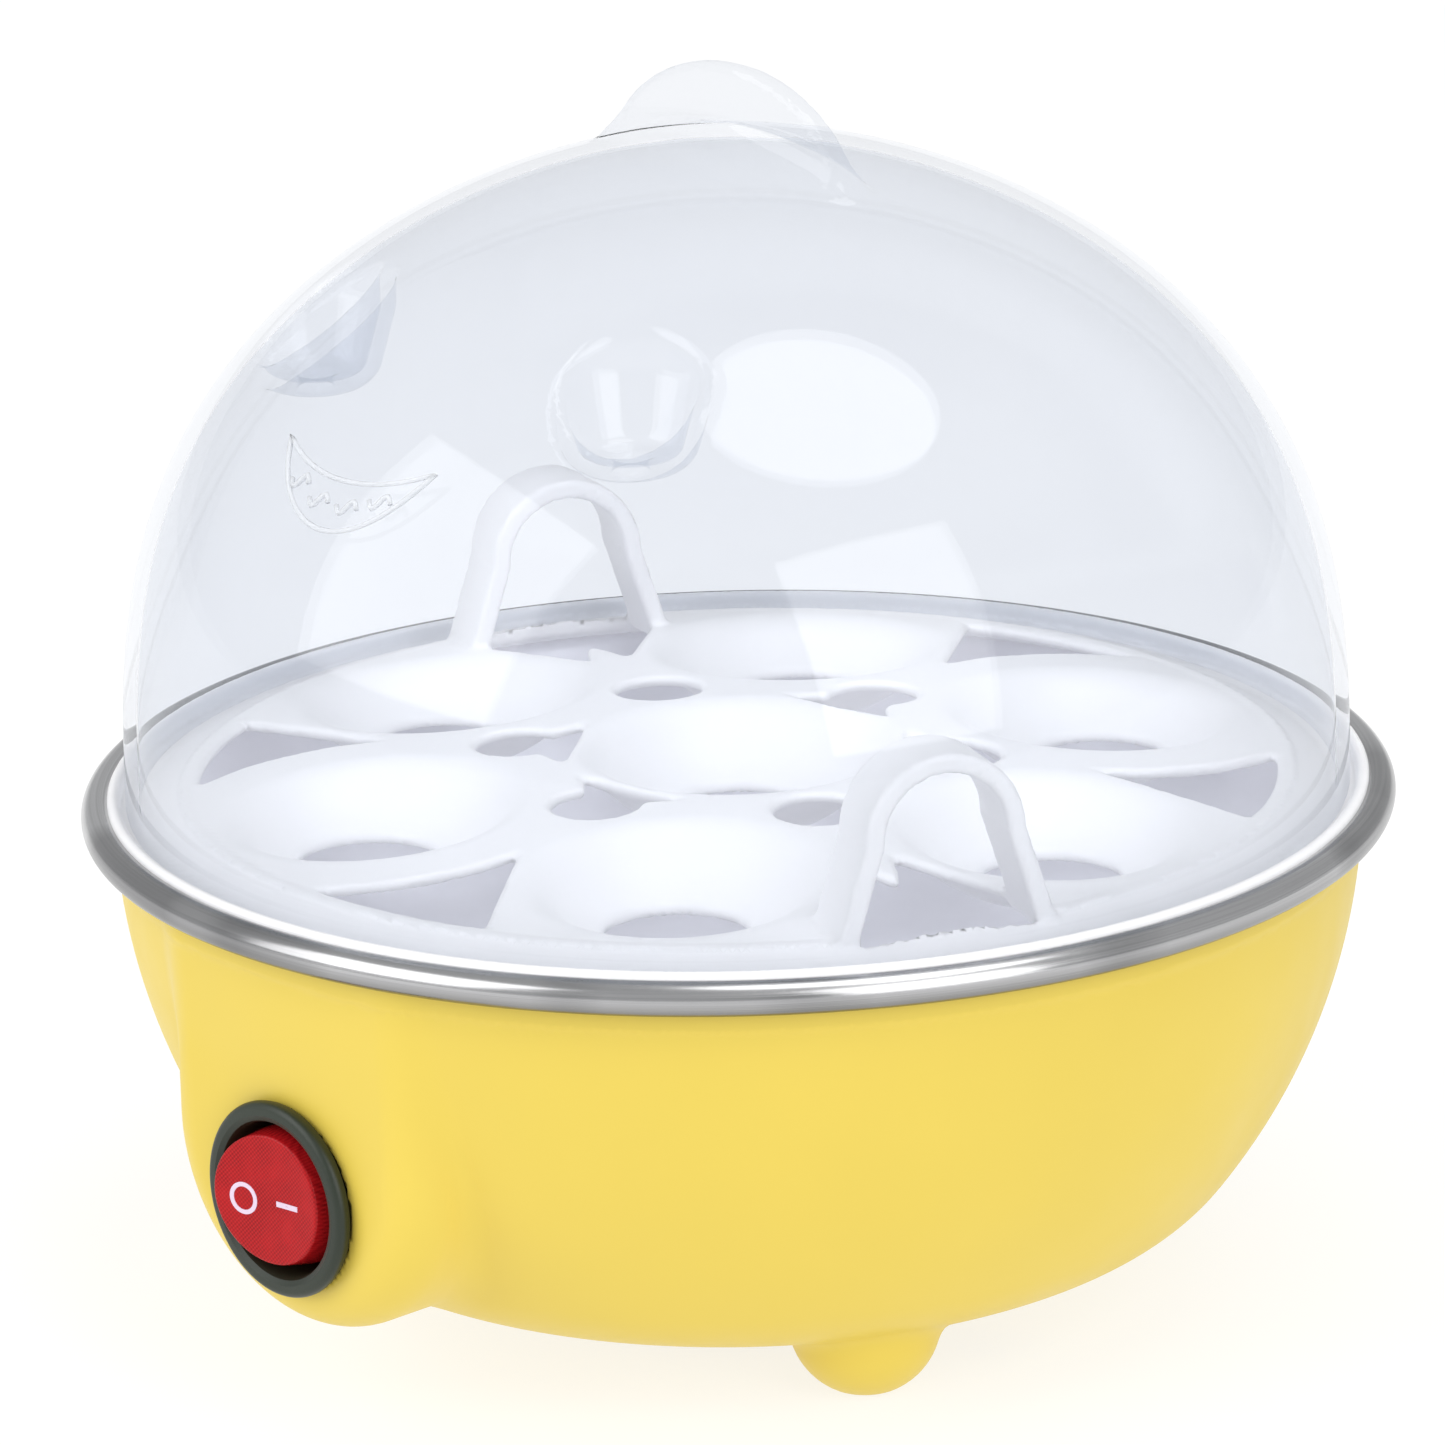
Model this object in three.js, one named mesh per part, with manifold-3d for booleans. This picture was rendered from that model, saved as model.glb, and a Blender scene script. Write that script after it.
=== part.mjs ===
// An egg cooker: a round plastic base with a heated steel pan, an egg tray and a clear domed lid.
// Millimetres, +Z up. The origin is on the table under the middle of the base; the switch faces -Y.
// A bearing is an angle in plan, counted from the switch (-Y) towards +X.
import * as THREE from "three";
import { mergeVertices } from "three/addons/utils/BufferGeometryUtils.js";
import Module from "manifold-3d";

const wasm = await Module();
wasm.setup();

// ---------------------------------------------------------------- driving dimensions
const gap = 0.3; // between pieces that touch
const past = 5; // how far a cutter runs past what it cuts
const bigSides = 40; // facets round the bowl, pan, tray and lid
const smallSides = 16; // facets round a small piece

const rimRadius = 80; // outside of the pan's rolled rim
const rollRadius = 2.1; // the roll's own radius
const rimFold = 1.3; // how far the roll overhangs the tray's lip
const panSheet = 0.8;
const panDepth = 21; // from the rim's middle to the pan floor
const panLedgeWidth = 5; // the flat ring that carries the tray
const panFloorRadius = 52;

const bowlDepth = 54.5; // from the rim's middle to the underside of the base
const bowlInset = 3.7; // the bowl's widest radius is this much inside the rim
const bowlFillet = 21; // where the side turns into the floor
const shellWall = 2.2;

const footInset = 0.4; // a foot's middle inside the edge of the bowl's flat floor
const footRadius = 9.2;
const footDrop = 7.5; // how far the feet stand below the base
const footFlat = 0.6; // the ball's bottom is flattened by this much
const footBearings = [65, -65, 180];

const housingInset = 5.4; // the housing's flat face inside the rim's outside
const housingHalfWidth = 23.2;
const housingEdge = 6.5; // its rounded edge
const housingBelowSwitch = 17.5; // from the switch's middle down to the housing's lowest point
const switchBelowPan = 0.4; // the switch's barrel below the pan's underside

const bezelFlange = 1.6; // how far the bezel overhangs its barrel
const bezelThickness = 1.8;
const barrelRadius = 10.4;
const barrelLength = 12.6;
const barrelWall = 0.9;
const rockerClearance = 0.95; // round the rocker, so that it can tilt
const rockerThickness = 8;
const rockerStandOut = 3.4; // rocker face in front of the housing's face
const rockerPivotDepth = 1.6; // pivot behind the housing's face
const rockerTilt = 8; // degrees to one side, at rest
const bladeSize = [0.8, 8, 4.8]; // thickness, free length, width
const bladeSpacing = 6;

const trayWall = 1.5;
const trayCrown = 6.1; // the tray's middle above the rim's middle
const trayCrownDrop = 3.5; // lower at the plateau's edge than in the middle
const trayLipWidth = 1.6;
const trayLipTop = 2.3; // above the rim's middle
const trayGutterTop = 0.5; // above the rim's middle
const trayPlateauInset = 12.1; // rim radius to the plateau's edge
const seatCount = 6; // round the one in the middle
const seatBall = 22; // radius of the rounded seat
const seatFloorDrop = 1.9; // seat's lowest edge below the rim's middle
const seatHoleRadius = 8.7;
const seatEdgeMargin = 3.3; // from a seat's rim to the plateau's edge
const ventRadius = 5.35;
const ventReach = 26.9;
const cornerHoleInset = 2.5; // its outer edge from the plateau's edge
const cornerHoleTip = 2.51; // its inner corner lies this far outside the circle through the seats' nearest points
const trayTurn = 7.6; // degrees, the tray against the switch

const archWidth = 28;
const archTopRadius = 10;
const archHeight = 22.8;
const archStrap = 2.4;
const archDepth = 9.2;

const lidWall = 1.8;
const lidClearance = 0.7; // round the lid, inside the tray's lip
const lidHeight = 82; // apex above the rim's middle
const lidSkirt = 3.6; // upright part of the lid, above the rim's middle
const lidCrownPower = 2.695; // these two powers shape the dome
const lidSidePower = 1.712;
const ventCupReach = 49.8;
const ventCupBearings = [33.7, -33.7];
const ventCupMouth = 8.05;
const ventCupFloor = 5.8;
const ventCupDepth = 25.8; // its floor below the apex
const ventCupHole = 2;
const finLength = 41;
const finRise = 9.2; // above the apex
const finOffset = 1.7; // its middle from the lid's middle
const finThickness = 3.4;

const heaterPlateRadius = 40;
const heaterPlateThickness = 3;
const heaterRingRadius = 30;
const heaterTubeRadius = 3;
const heaterGapAngle = 18; // half of the ring's open arc
const heaterTail = 4; // how far the tube's ends turn down
const heaterPinRadius = 1.2;
const heaterPinLength = 5;
const studRadius = 2.4;
const studLength = 12;
const nutRadius = 4.6;
const nutThickness = 4.2;
const bracketWidth = 13;
const bracketThickness = 1.5;
const bracketDrop = 10.3; // from its raised middle to its feet
const bracketCrown = 18; // half length of its raised middle
const bracketShoulder = 25; // where its slopes end
const screwReach = 40; // axis to a base screw
const screwRadius = 1.9;
const screwHeadRadius = 3.7;
const screwHeadHeight = 2.5;
const bossWall = 2.1;

const thermostatRadius = 8;
const thermostatCapHeight = 3;
const thermostatBodyHeight = 4.7;
const thermostatPlace = [0, 17];
const fuseRadius = 2;
const fuseLength = 12;
const fusePlace = [0, -17];
const terminalBlockSize = [16, 12, 9];
const terminalBlockPlace = [-18, 29];
const wireRadius = 1.1;

const glandHeight = 24; // above the table
const glandInset = 13.5; // the flat that the gland sits on, inside the rim's outside
const glandBore = 3.3; // for the supply cord
const glandWall = 1.2;
const glandFlange = 6.2;
const glandFlangeThickness = 2;
const glandLip = 1;
const glandBossRadius = 7.6;
const glandBossLength = 8.5;

// ---------------------------------------------------------------- worked out from them
const rimZ = footDrop + bowlDepth;
const housingFace = rimRadius - housingInset;
const glandFace = rimRadius - glandInset;
const rollCentre = rimRadius - rollRadius;
const rimInner = rollCentre - rollRadius + rimFold;
const ledgeTop = rimZ - rollRadius + panSheet;
const ledgeBottom = ledgeTop - panSheet;
const panWallRadius = rimInner - panLedgeWidth;
const panFloorZ = rimZ - panDepth;
const panUnderside = panFloorZ - panSheet;

const bowlRadius = rimRadius - bowlInset;
const floorZ = rimZ - bowlDepth;
const floorRadius = Math.sqrt((bowlRadius - bowlFillet) ** 2 - (rimZ - floorZ - bowlFillet) ** 2);
const footReach = floorRadius - footInset;
const shellTop = ledgeBottom - gap;
const gasketThickness = 0.8;

const switchDrop = panDepth + panSheet + switchBelowPan + barrelRadius; // from the rim's middle to the switch's middle
const switchZ = rimZ - switchDrop;
const bezelRadius = barrelRadius + bezelFlange;
const holeRadius = barrelRadius + gap;
const openingRadius = barrelRadius - barrelWall;
const rockerRadius = openingRadius - rockerClearance;
const barrelEnd = housingFace - barrelLength;
const rockerPivot = housingFace - rockerPivotDepth;

const lipOuter = rimInner - gap;
const lipInner = lipOuter - trayLipWidth;
const plateauRadius = rimRadius - trayPlateauInset;
const seatBallZ = rimZ - seatFloorDrop + Math.sqrt(seatBall ** 2 - seatHoleRadius ** 2);
const seatRimRadius = seatRadiusAt(rimZ + trayCrown - trayCrownDrop / 2);
const seatReach = plateauRadius - seatEdgeMargin - seatRimRadius;
const archReach = plateauRadius - archDepth / 2;
const lidRadius = lipInner - lidClearance;
const lidBottom = rimZ + trayGutterTop + gap;
const ventCupFloorZ = rimZ + lidHeight - ventCupDepth;

const plateTop = panUnderside - gap;
const plateBottom = plateTop - heaterPlateThickness;
const tubeZ = plateBottom - gap - heaterTubeRadius;
const bracketTop = plateBottom - gap;
const bracketFootZ = bracketTop - bracketThickness - bracketDrop;
const bossHole = screwRadius + gap;
const counterbore = screwHeadRadius + gap;
const innerFloorZ = floorZ + shellWall;
const screwSeatZ = innerFloorZ + screwHeadHeight;
const glandBody = glandBore + glandWall;

// ---------------------------------------------------------------- materials
function material(color, roughness, metalness = 0, extra = {}) {
  return new THREE.MeshStandardMaterial({ color, roughness, metalness, ...extra });
}
const yellowPlastic = material(0xf6da62, 0.4);
const whitePlastic = material(0xf3f3fa, 0.35);
const clearPlastic = material(0xdfe3ea, 0.08, 0, { transparent: true, opacity: 0.3 });
const blackPlastic = material(0x2f3a37, 0.45);
const redPlastic = material(0xc81e22, 0.2);
const blockPlastic = material(0xe6e2d4, 0.5);
const bakelite = material(0x6b2f22, 0.5);
const steel = material(0xc9cacc, 0.3, 1);
const zincSteel = material(0xa7adb1, 0.4, 1);
const aluminium = material(0xb9bdc2, 0.45, 1);
const brass = material(0xc9a44c, 0.35, 1);
const silicone = material(0xd9d9d6, 0.7);
const redSleeve = material(0xb4392f, 0.6);
const blueSleeve = material(0x35608f, 0.6);
const whiteSleeve = material(0xe4e1da, 0.6);
const lampGlass = material(0xf3b899, 0.1);

// ---------------------------------------------------------------- shapes
const radians = THREE.MathUtils.degToRad;

function atBearing(reach, bearing) {
  return [reach * Math.sin(radians(bearing)), -reach * Math.cos(radians(bearing))];
}

function solid(geometry) {
  geometry.deleteAttribute("normal");
  geometry.deleteAttribute("uv");
  const merged = mergeVertices(geometry, 1e-4);
  const vertProperties = merged.getAttribute("position").array;
  const triVerts = new Uint32Array(merged.index.array);
  return new wasm.Manifold(new wasm.Mesh({ numProp: 3, vertProperties, triVerts }));
}

function geometryOf(body) {
  const mesh = body.getMesh();
  return new THREE.BufferGeometry()
    .setAttribute("position", new THREE.BufferAttribute(mesh.vertProperties, 3))
    .setIndex(new THREE.BufferAttribute(mesh.triVerts, 1))
    .toNonIndexed();
}

// A profile of [radius, height] points, anticlockwise, turned about the Z axis.
function turned(profile, sides = smallSides) {
  const points = profile.map(([r, z]) => new THREE.Vector2(r, z));
  return new THREE.LatheGeometry(points, sides).rotateX(Math.PI / 2);
}

// The same profile closed on itself, for a ring that doesn't reach the axis.
function turnedRing(profile, sides = smallSides) {
  return turned([...profile, profile[0]], sides);
}

// Turned about a level axis that points to the switch side: heights become distances towards -Y.
function turnedToFront(profile, z, sides = smallSides) {
  return turned(profile, sides).rotateX(Math.PI / 2).translate(0, 0, z);
}

function rod(radius, from, to, sides = smallSides) {
  return turned([[0, from], [radius, from], [radius, to], [0, to]], sides);
}

function arc(centreR, centreZ, radius, fromDegrees, toDegrees, steps) {
  return Array.from({ length: steps + 1 }, (_, i) => {
    const angle = radians(fromDegrees + ((toDegrees - fromDegrees) * i) / steps);
    return [centreR + radius * Math.cos(angle), centreZ + radius * Math.sin(angle)];
  });
}

function box(width, depth, height, x, y, z) {
  return new THREE.BoxGeometry(width, depth, height).translate(x, y, z);
}

function wire(points) {
  const curve = new THREE.CatmullRomCurve3(points.map((p) => new THREE.Vector3(...p)));
  const section = new THREE.Shape().absarc(0, 0, wireRadius, 0, 2 * Math.PI);
  return new THREE.ExtrudeGeometry(section, { curveSegments: 4, steps: 16, extrudePath: curve });
}

// ---------------------------------------------------------------- base
// The bowl is part of a ball about the rim's middle, turned into a flat floor by a fillet.
function bowlProfile(inset, top) {
  const ball = bowlRadius - inset;
  const fillet = bowlFillet - inset;
  const filletZ = floorZ + bowlFillet;
  const filletR = Math.sqrt((ball - fillet) ** 2 - (rimZ - filletZ) ** 2);
  const meet = THREE.MathUtils.radToDeg(Math.atan2(filletZ - rimZ, filletR));
  const start = THREE.MathUtils.radToDeg(Math.asin((top - rimZ) / ball));
  return [
    [0, floorZ + inset],
    ...arc(filletR, filletZ, fillet, -90, meet, 4),
    ...arc(0, rimZ, ball, meet, start, 6).slice(1),
  ];
}

function bowl(inset, top) {
  return solid(turned([...bowlProfile(inset, top), [0, top]], bigSides));
}

// The switch housing: a U in front view, drawn inwards from its face, with a rounded front edge.
function housing(inset) {
  const half = housingHalfWidth - inset;
  const edge = housingEdge - inset;
  const low = switchZ - housingBelowSwitch + inset;
  const straight = half - edge;
  const shape = new THREE.Shape();
  shape.moveTo(-straight, shellTop - edge);
  shape.lineTo(-straight, low + half);
  shape.absarc(0, low + half, straight, Math.PI, 2 * Math.PI);
  shape.lineTo(straight, shellTop - edge);
  const inner = bowlRadius - 2 * housingHalfWidth;
  const geometry = new THREE.ExtrudeGeometry(shape, {
    depth: housingFace - inset - edge - inner,
    bevelThickness: edge,
    bevelSize: edge,
    bevelSegments: 3,
    curveSegments: 7,
  });
  return solid(geometry.rotateX(Math.PI / 2).translate(0, -inner, 0));
}

function foot(bearing, inset) {
  const [x, y] = atBearing(footReach, bearing);
  const centre = footRadius - footFlat;
  const profile = arc(0, centre, footRadius - inset, -90, 0, 4);
  profile[0][0] = 0;
  const top = innerFloorZ + (inset ? past / 2 : 0);
  const body = solid(turned([...profile, [footRadius - inset, top], [0, top]]).translate(x, y, 0));
  const ground = solid(box(4 * footRadius, 4 * footRadius, past, x, y, inset - past / 2));
  return body.subtract(ground);
}

function screwBoss(side) {
  const wide = solid(rod(counterbore + bossWall, floorZ + gap, screwSeatZ + bossWall));
  const post = solid(rod(bossHole + bossWall, floorZ + gap, bracketFootZ - gap));
  return wide.add(post).translate([side * screwReach, 0, 0]);
}

function screwHole(side) {
  const shank = solid(rod(bossHole, floorZ - past, bracketFootZ + past));
  const head = solid(rod(counterbore, floorZ - past, screwSeatZ + gap));
  return shank.add(head).translate([side * screwReach, 0, 0]);
}

// A level rod that runs backwards, along +Y, from one distance to another.
function rearRod(radius, from, to) {
  return solid(rod(radius, from, to).rotateX(-Math.PI / 2).translate(0, 0, glandHeight));
}

function baseShell() {
  const glandBoss = rearRod(glandBossRadius, glandFace - glandBossLength, glandFace);
  const glandPocket = rearRod(glandBossRadius + gap, glandFace, bowlRadius + past);
  const glandHole = rearRod(glandBody + gap, glandFace - glandBossLength - past, glandFace + past);
  const switchHole = solid(
    turnedToFront([[0, barrelEnd], [holeRadius, barrelEnd], [holeRadius, rimRadius], [0, rimRadius]], switchZ),
  );
  const gasketRebate = solid(
    rod(bowlRadius - shellWall / 2, shellTop - gasketThickness - gap, shellTop + past, bigSides),
  );
  let outer = bowl(0, shellTop).add(housing(0)).add(glandBoss);
  let inner = bowl(shellWall, shellTop).add(housing(shellWall));
  for (const bearing of footBearings) {
    outer = outer.add(foot(bearing, 0));
    inner = inner.add(foot(bearing, shellWall));
  }
  let shell = outer.subtract(inner.subtract(glandBoss)).subtract(gasketRebate);
  for (const side of [-1, 1]) shell = shell.add(screwBoss(side)).subtract(screwHole(side));
  return shell.subtract(glandPocket).subtract(glandHole).subtract(switchHole);
}

function rimGasket() {
  const inside = bowlRadius - shellWall;
  const outside = bowlRadius - shellWall / 2 - gap;
  const bottom = shellTop - gasketThickness;
  const top = ledgeBottom - gap;
  return turnedRing([[inside, bottom], [outside, bottom], [outside, top], [inside, top]], bigSides);
}

// ---------------------------------------------------------------- heated pan
function heatingPan() {
  const wallStart = panWallRadius - 4;
  const bend = (panDepth - rollRadius) / 2;
  const under = [
    [0, panUnderside],
    [panFloorRadius, panUnderside],
    [panFloorRadius + bend, panUnderside + bend / 3],
    [wallStart + panSheet, panUnderside + bend],
    [panWallRadius + panSheet, ledgeBottom - 1],
    [panWallRadius + panSheet, ledgeBottom],
    [rimInner, ledgeBottom],
  ];
  const roll = arc(rollCentre, rimZ, rollRadius, -90, 112, 7);
  const above = [
    [rimInner, rimZ],
    [rimInner, ledgeTop],
    [panWallRadius, ledgeTop],
    [panWallRadius, ledgeBottom - 1],
    [wallStart, panFloorZ + bend],
    [panFloorRadius + bend - panSheet / 2, panFloorZ + bend / 3],
    [panFloorRadius, panFloorZ],
    [0, panFloorZ],
  ];
  const dish = solid(turned([...under, ...roll, ...above], bigSides));
  return dish.add(solid(rod(studRadius, panUnderside - studLength, panFloorZ - panSheet / 2, 12)));
}

// ---------------------------------------------------------------- egg tray
function seatRadiusAt(z) {
  return Math.sqrt(seatBall ** 2 - (seatBallZ - z) ** 2);
}

function trayTopAt(r) {
  return rimZ + trayCrown - trayCrownDrop * (r / plateauRadius) ** 2;
}

// The crowned plateau from the axis outwards, lowered by some depth.
function crown(depth) {
  const steps = 4;
  return Array.from({ length: steps + 1 }, (_, i) => {
    const r = (plateauRadius * i) / steps;
    return [r, trayTopAt(r) - depth];
  });
}

function seatBearings(offset) {
  return Array.from({ length: seatCount }, (_, i) => trayTurn + (360 * (i + offset)) / seatCount);
}

function seatPlaces() {
  return [[0, 0], ...seatBearings(0.5).map((bearing) => atBearing(seatReach, bearing))];
}

// The part of a ball between the seat's lowest edge and the tray's top.
function seatBallSolid(wall, bottom) {
  const ball = seatBall + wall;
  const low = THREE.MathUtils.radToDeg(Math.asin((bottom - seatBallZ) / ball));
  const high = THREE.MathUtils.radToDeg(Math.asin((trayTopAt(0) + past - seatBallZ) / ball));
  const side = arc(0, seatBallZ, ball, low, high, 3);
  return solid(turned([[0, bottom], ...side, [0, side.at(-1)[1]]]));
}

function cornerHole(bearing) {
  const seatAngle = Math.PI / seatCount;
  const edge = plateauRadius - cornerHoleInset;
  const band = seatReach * Math.sin(seatAngle) + cornerHoleTip;
  const cosine = (edge ** 2 + seatReach ** 2 - band ** 2) / (2 * edge * seatReach);
  const half = seatAngle - Math.acos(cosine);
  const centre = [seatReach * Math.cos(seatAngle), seatReach * Math.sin(seatAngle)];
  const tip = centre[0] + Math.sqrt(band ** 2 - centre[1] ** 2);
  const corner = [edge * Math.cos(half), edge * Math.sin(half)];
  const from = Math.atan2(corner[1] - centre[1], corner[0] - centre[0]);
  const to = Math.atan2(-centre[1], tip - centre[0]);
  const shape = new THREE.Shape();
  shape.absarc(0, 0, edge, -half, half);
  shape.absarc(centre[0], centre[1], band, from, to, true);
  shape.absarc(centre[0], -centre[1], band, -to, -from, true);
  const height = trayCrown + 2 * past;
  const geometry = new THREE.ExtrudeGeometry(shape, { depth: height, bevelEnabled: false, curveSegments: 4 });
  return solid(geometry.translate(0, 0, rimZ - past).rotateZ(radians(bearing - 90)));
}

function archOutline(path, inset) {
  const foot = archWidth / 2 - inset;
  const top = archTopRadius - inset;
  const springZ = archHeight - archTopRadius;
  path.moveTo(-foot, 0);
  path.lineTo(-top, springZ);
  path.absarc(0, springZ, top, Math.PI, 0, true);
  path.lineTo(foot, 0);
  return path;
}

// A level shape's outline stands up across the bearing, and its depth lies along it.
function acrossBearing(shape, depth, reach, bottom, bearing) {
  const geometry = new THREE.ExtrudeGeometry(shape, { depth, bevelEnabled: false, curveSegments: 5 });
  geometry.translate(0, 0, -depth / 2).rotateX(Math.PI / 2).translate(0, -reach, bottom);
  return solid(geometry.rotateZ(radians(bearing)));
}

function archHandle(bearing) {
  const bottom = trayTopAt(plateauRadius) - trayWall;
  const strap = acrossBearing(archOutline(new THREE.Shape(), 0), archDepth, archReach, bottom, bearing);
  const under = archOutline(new THREE.Shape(), archStrap);
  const slot = acrossBearing(under, archDepth - 2 * gap, archReach, bottom - past, bearing);
  const inside = acrossBearing(under, archDepth + past, archReach, bottom, bearing);
  return { strap: strap.subtract(inside), slot };
}

function eggTray() {
  const gutterTop = rimZ + trayGutterTop;
  const lipTop = rimZ + trayLipTop;
  const bottom = ledgeTop + gap;
  const wallFoot = lidRadius - lidWall - lidClearance;
  const top = crown(0);
  const under = crown(trayWall);
  const profile = [
    ...under,
    [wallFoot - trayWall / 2, bottom],
    [lipOuter, bottom],
    [lipOuter, lipTop],
    [lipInner, lipTop],
    [lipInner, gutterTop],
    [wallFoot, gutterTop],
    ...top.reverse(),
  ];
  const seatFloor = rimZ - seatFloorDrop;
  const seatUnder = seatFloor - trayWall;
  const underTop = solid(turned([[0, seatUnder], [plateauRadius, seatUnder], ...top], bigSides));
  const seatShell = seatBallSolid(trayWall, seatUnder);
  const seatSpace = seatBallSolid(0, seatFloor - trayWall / 2);
  const seatHole = solid(rod(seatHoleRadius, seatUnder - past, seatFloor + past));
  const vent = solid(rod(ventRadius, rimZ - past, rimZ + trayCrown + past, 12));
  let tray = solid(turned(profile, bigSides));
  for (const [x, y] of seatPlaces()) tray = tray.add(seatShell.translate([x, y, 0]).intersect(underTop));
  for (const [x, y] of seatPlaces()) tray = tray.subtract(seatSpace.add(seatHole).translate([x, y, 0]));
  seatBearings(0).forEach((bearing, i) => {
    tray = tray.subtract(vent.translate([...atBearing(ventReach, bearing), 0]));
    if (i % (seatCount / 2) !== 1) {
      tray = tray.subtract(cornerHole(bearing));
      return;
    }
    const { strap, slot } = archHandle(bearing);
    tray = tray.subtract(slot).add(strap);
  });
  return tray;
}

// ---------------------------------------------------------------- lid
function lidProfile(inset) {
  const steps = 12;
  const rise = lidHeight - lidSkirt - inset;
  return Array.from({ length: steps + 1 }, (_, i) => {
    const up = Math.sin((i / steps) * (Math.PI / 2));
    const r = (lidRadius - inset) * (1 - up ** lidCrownPower) ** (1 / lidSidePower);
    return [r, rimZ + lidSkirt + rise * up];
  });
}

function lidSolid(inset, bottom) {
  return solid(turned([[0, bottom], [lidRadius - inset, bottom], ...lidProfile(inset)], bigSides));
}

function ventCup(wall, bottom) {
  const mouth = ventCupMouth + wall;
  const floor = ventCupFloor + wall;
  const depth = ventCupMouth;
  const top = ventCupFloorZ + depth;
  return solid(turned([[0, bottom], [floor, bottom], [mouth, top], [mouth, top + 3 * past], [0, top + 3 * past]]));
}

function fin() {
  const apex = rimZ + lidHeight;
  const half = finLength / 2;
  const sink = 2 * lidWall;
  const shape = new THREE.Shape();
  shape.moveTo(-half, apex - sink);
  shape.bezierCurveTo(-half + 2, apex + finRise * 0.55, -half / 2, apex + finRise, 0, apex + finRise);
  shape.bezierCurveTo(half / 2, apex + finRise, half - 2, apex + finRise * 0.55, half, apex - sink);
  const geometry = new THREE.ExtrudeGeometry(shape, { depth: finThickness, bevelEnabled: false, curveSegments: 8 });
  return solid(geometry.rotateX(Math.PI / 2).translate(finOffset, finThickness / 2, 0));
}

function lid() {
  const outside = lidSolid(0, lidBottom);
  const inside = lidSolid(lidWall, lidBottom - past);
  const cupOuter = ventCup(lidWall, ventCupFloorZ - lidWall);
  const cupInner = ventCup(0, ventCupFloorZ);
  const hole = solid(rod(ventCupHole, ventCupFloorZ - past, ventCupFloorZ + past, 12));
  let dome = outside.subtract(inside).add(fin().subtract(inside));
  for (const bearing of ventCupBearings) {
    const place = [...atBearing(ventCupReach, bearing), 0];
    dome = dome.add(cupOuter.translate(place).intersect(outside));
    dome = dome.subtract(cupInner.add(hole).translate(place));
  }
  return dome;
}

// ---------------------------------------------------------------- heater and its controls
function heaterPlate() {
  const hole = studRadius + gap;
  const ring = [[hole, plateBottom], [heaterPlateRadius, plateBottom], [heaterPlateRadius, plateTop], [hole, plateTop]];
  return turnedRing(ring, bigSides);
}

function heaterEnd(side) {
  return atBearing(heaterRingRadius, side * (180 - heaterGapAngle));
}

function heaterTube() {
  const points = [];
  const steps = 24;
  const half = 180 - heaterGapAngle;
  for (let i = 0; i <= steps; i++) {
    const [x, y] = atBearing(heaterRingRadius, -half + (2 * half * i) / steps);
    points.push(new THREE.Vector3(x, y, tubeZ));
  }
  const tail = (side) => {
    const [x, y] = heaterEnd(side);
    const bend = side * heaterTubeRadius * 1.5;
    return [
      new THREE.Vector3(x - bend, y, tubeZ - heaterTubeRadius / 2),
      new THREE.Vector3(x - bend * 1.3, y, tubeZ - heaterTubeRadius - heaterTail),
    ];
  };
  const curve = new THREE.CatmullRomCurve3([...tail(-1).reverse(), ...points, ...tail(1)]);
  const section = new THREE.Shape().absarc(0, 0, heaterTubeRadius, 0, 2 * Math.PI);
  return new THREE.ExtrudeGeometry(section, { curveSegments: 5, steps: 32, extrudePath: curve });
}

function heaterPinPlace(side) {
  const [x, y] = heaterEnd(side);
  return [x - side * heaterTubeRadius * 1.95, y];
}

function heaterPin(side) {
  const top = tubeZ - heaterTubeRadius - heaterTail - 2 * gap;
  const [x, y] = heaterPinPlace(side);
  return rod(heaterPinRadius, top - heaterPinLength, top, 12).translate(x, y, 0);
}

function clampBracket() {
  const end = screwReach + screwHeadRadius + gap;
  const high = bracketTop;
  const low = bracketFootZ + bracketThickness;
  const upper = [[-end, low], [-bracketShoulder, low], [-bracketCrown, high]];
  const outline = [...upper, ...upper.map(([x, z]) => [-x, z]).reverse()];
  const back = outline.map(([x, z]) => [x, z - bracketThickness]).reverse();
  const shape = new THREE.Shape([...outline, ...back].map(([x, z]) => new THREE.Vector2(x, z)));
  const geometry = new THREE.ExtrudeGeometry(shape, { depth: bracketWidth, bevelEnabled: false });
  let strap = solid(geometry.rotateX(Math.PI / 2).translate(0, bracketWidth / 2, 0));
  strap = strap.subtract(solid(rod(studRadius + gap, bracketFootZ, bracketTop + past)));
  for (const side of [-1, 1]) {
    strap = strap.subtract(solid(rod(bossHole, bracketFootZ - past, bracketTop)).translate([side * screwReach, 0, 0]));
  }
  return strap;
}

function studNut() {
  const top = bracketTop - bracketThickness - gap;
  const hole = studRadius + gap;
  const bottom = top - nutThickness;
  return solid(rod(nutRadius, bottom, top, 6)).subtract(solid(rod(hole, bottom - past, top + past, 12)));
}

function baseScrew(side) {
  const headBottom = screwSeatZ - screwHeadHeight;
  const tip = bracketFootZ + bracketThickness + 2;
  const profile = [
    [0, headBottom],
    [screwHeadRadius * 0.75, headBottom],
    [screwHeadRadius, headBottom + screwHeadHeight / 2],
    [screwHeadRadius, screwSeatZ],
    [screwRadius, screwSeatZ],
    [screwRadius, tip - screwRadius],
    [0, tip],
  ];
  const cross = [0, 1].map((i) => solid(box(screwRadius * 2, 1, 1.6, 0, 0, headBottom).rotateZ((i * Math.PI) / 2)));
  const screw = solid(turned(profile, 16)).subtract(cross[0].add(cross[1]));
  return screw.translate([side * screwReach, 0, 0]);
}

const capBottom = plateBottom - gap - thermostatCapHeight;
const bodyTop = capBottom - gap;
const bodyBottom = bodyTop - thermostatBodyHeight;

function thermostatCap() {
  return rod(thermostatRadius, capBottom, plateBottom - gap).translate(...thermostatPlace, 0);
}

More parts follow.
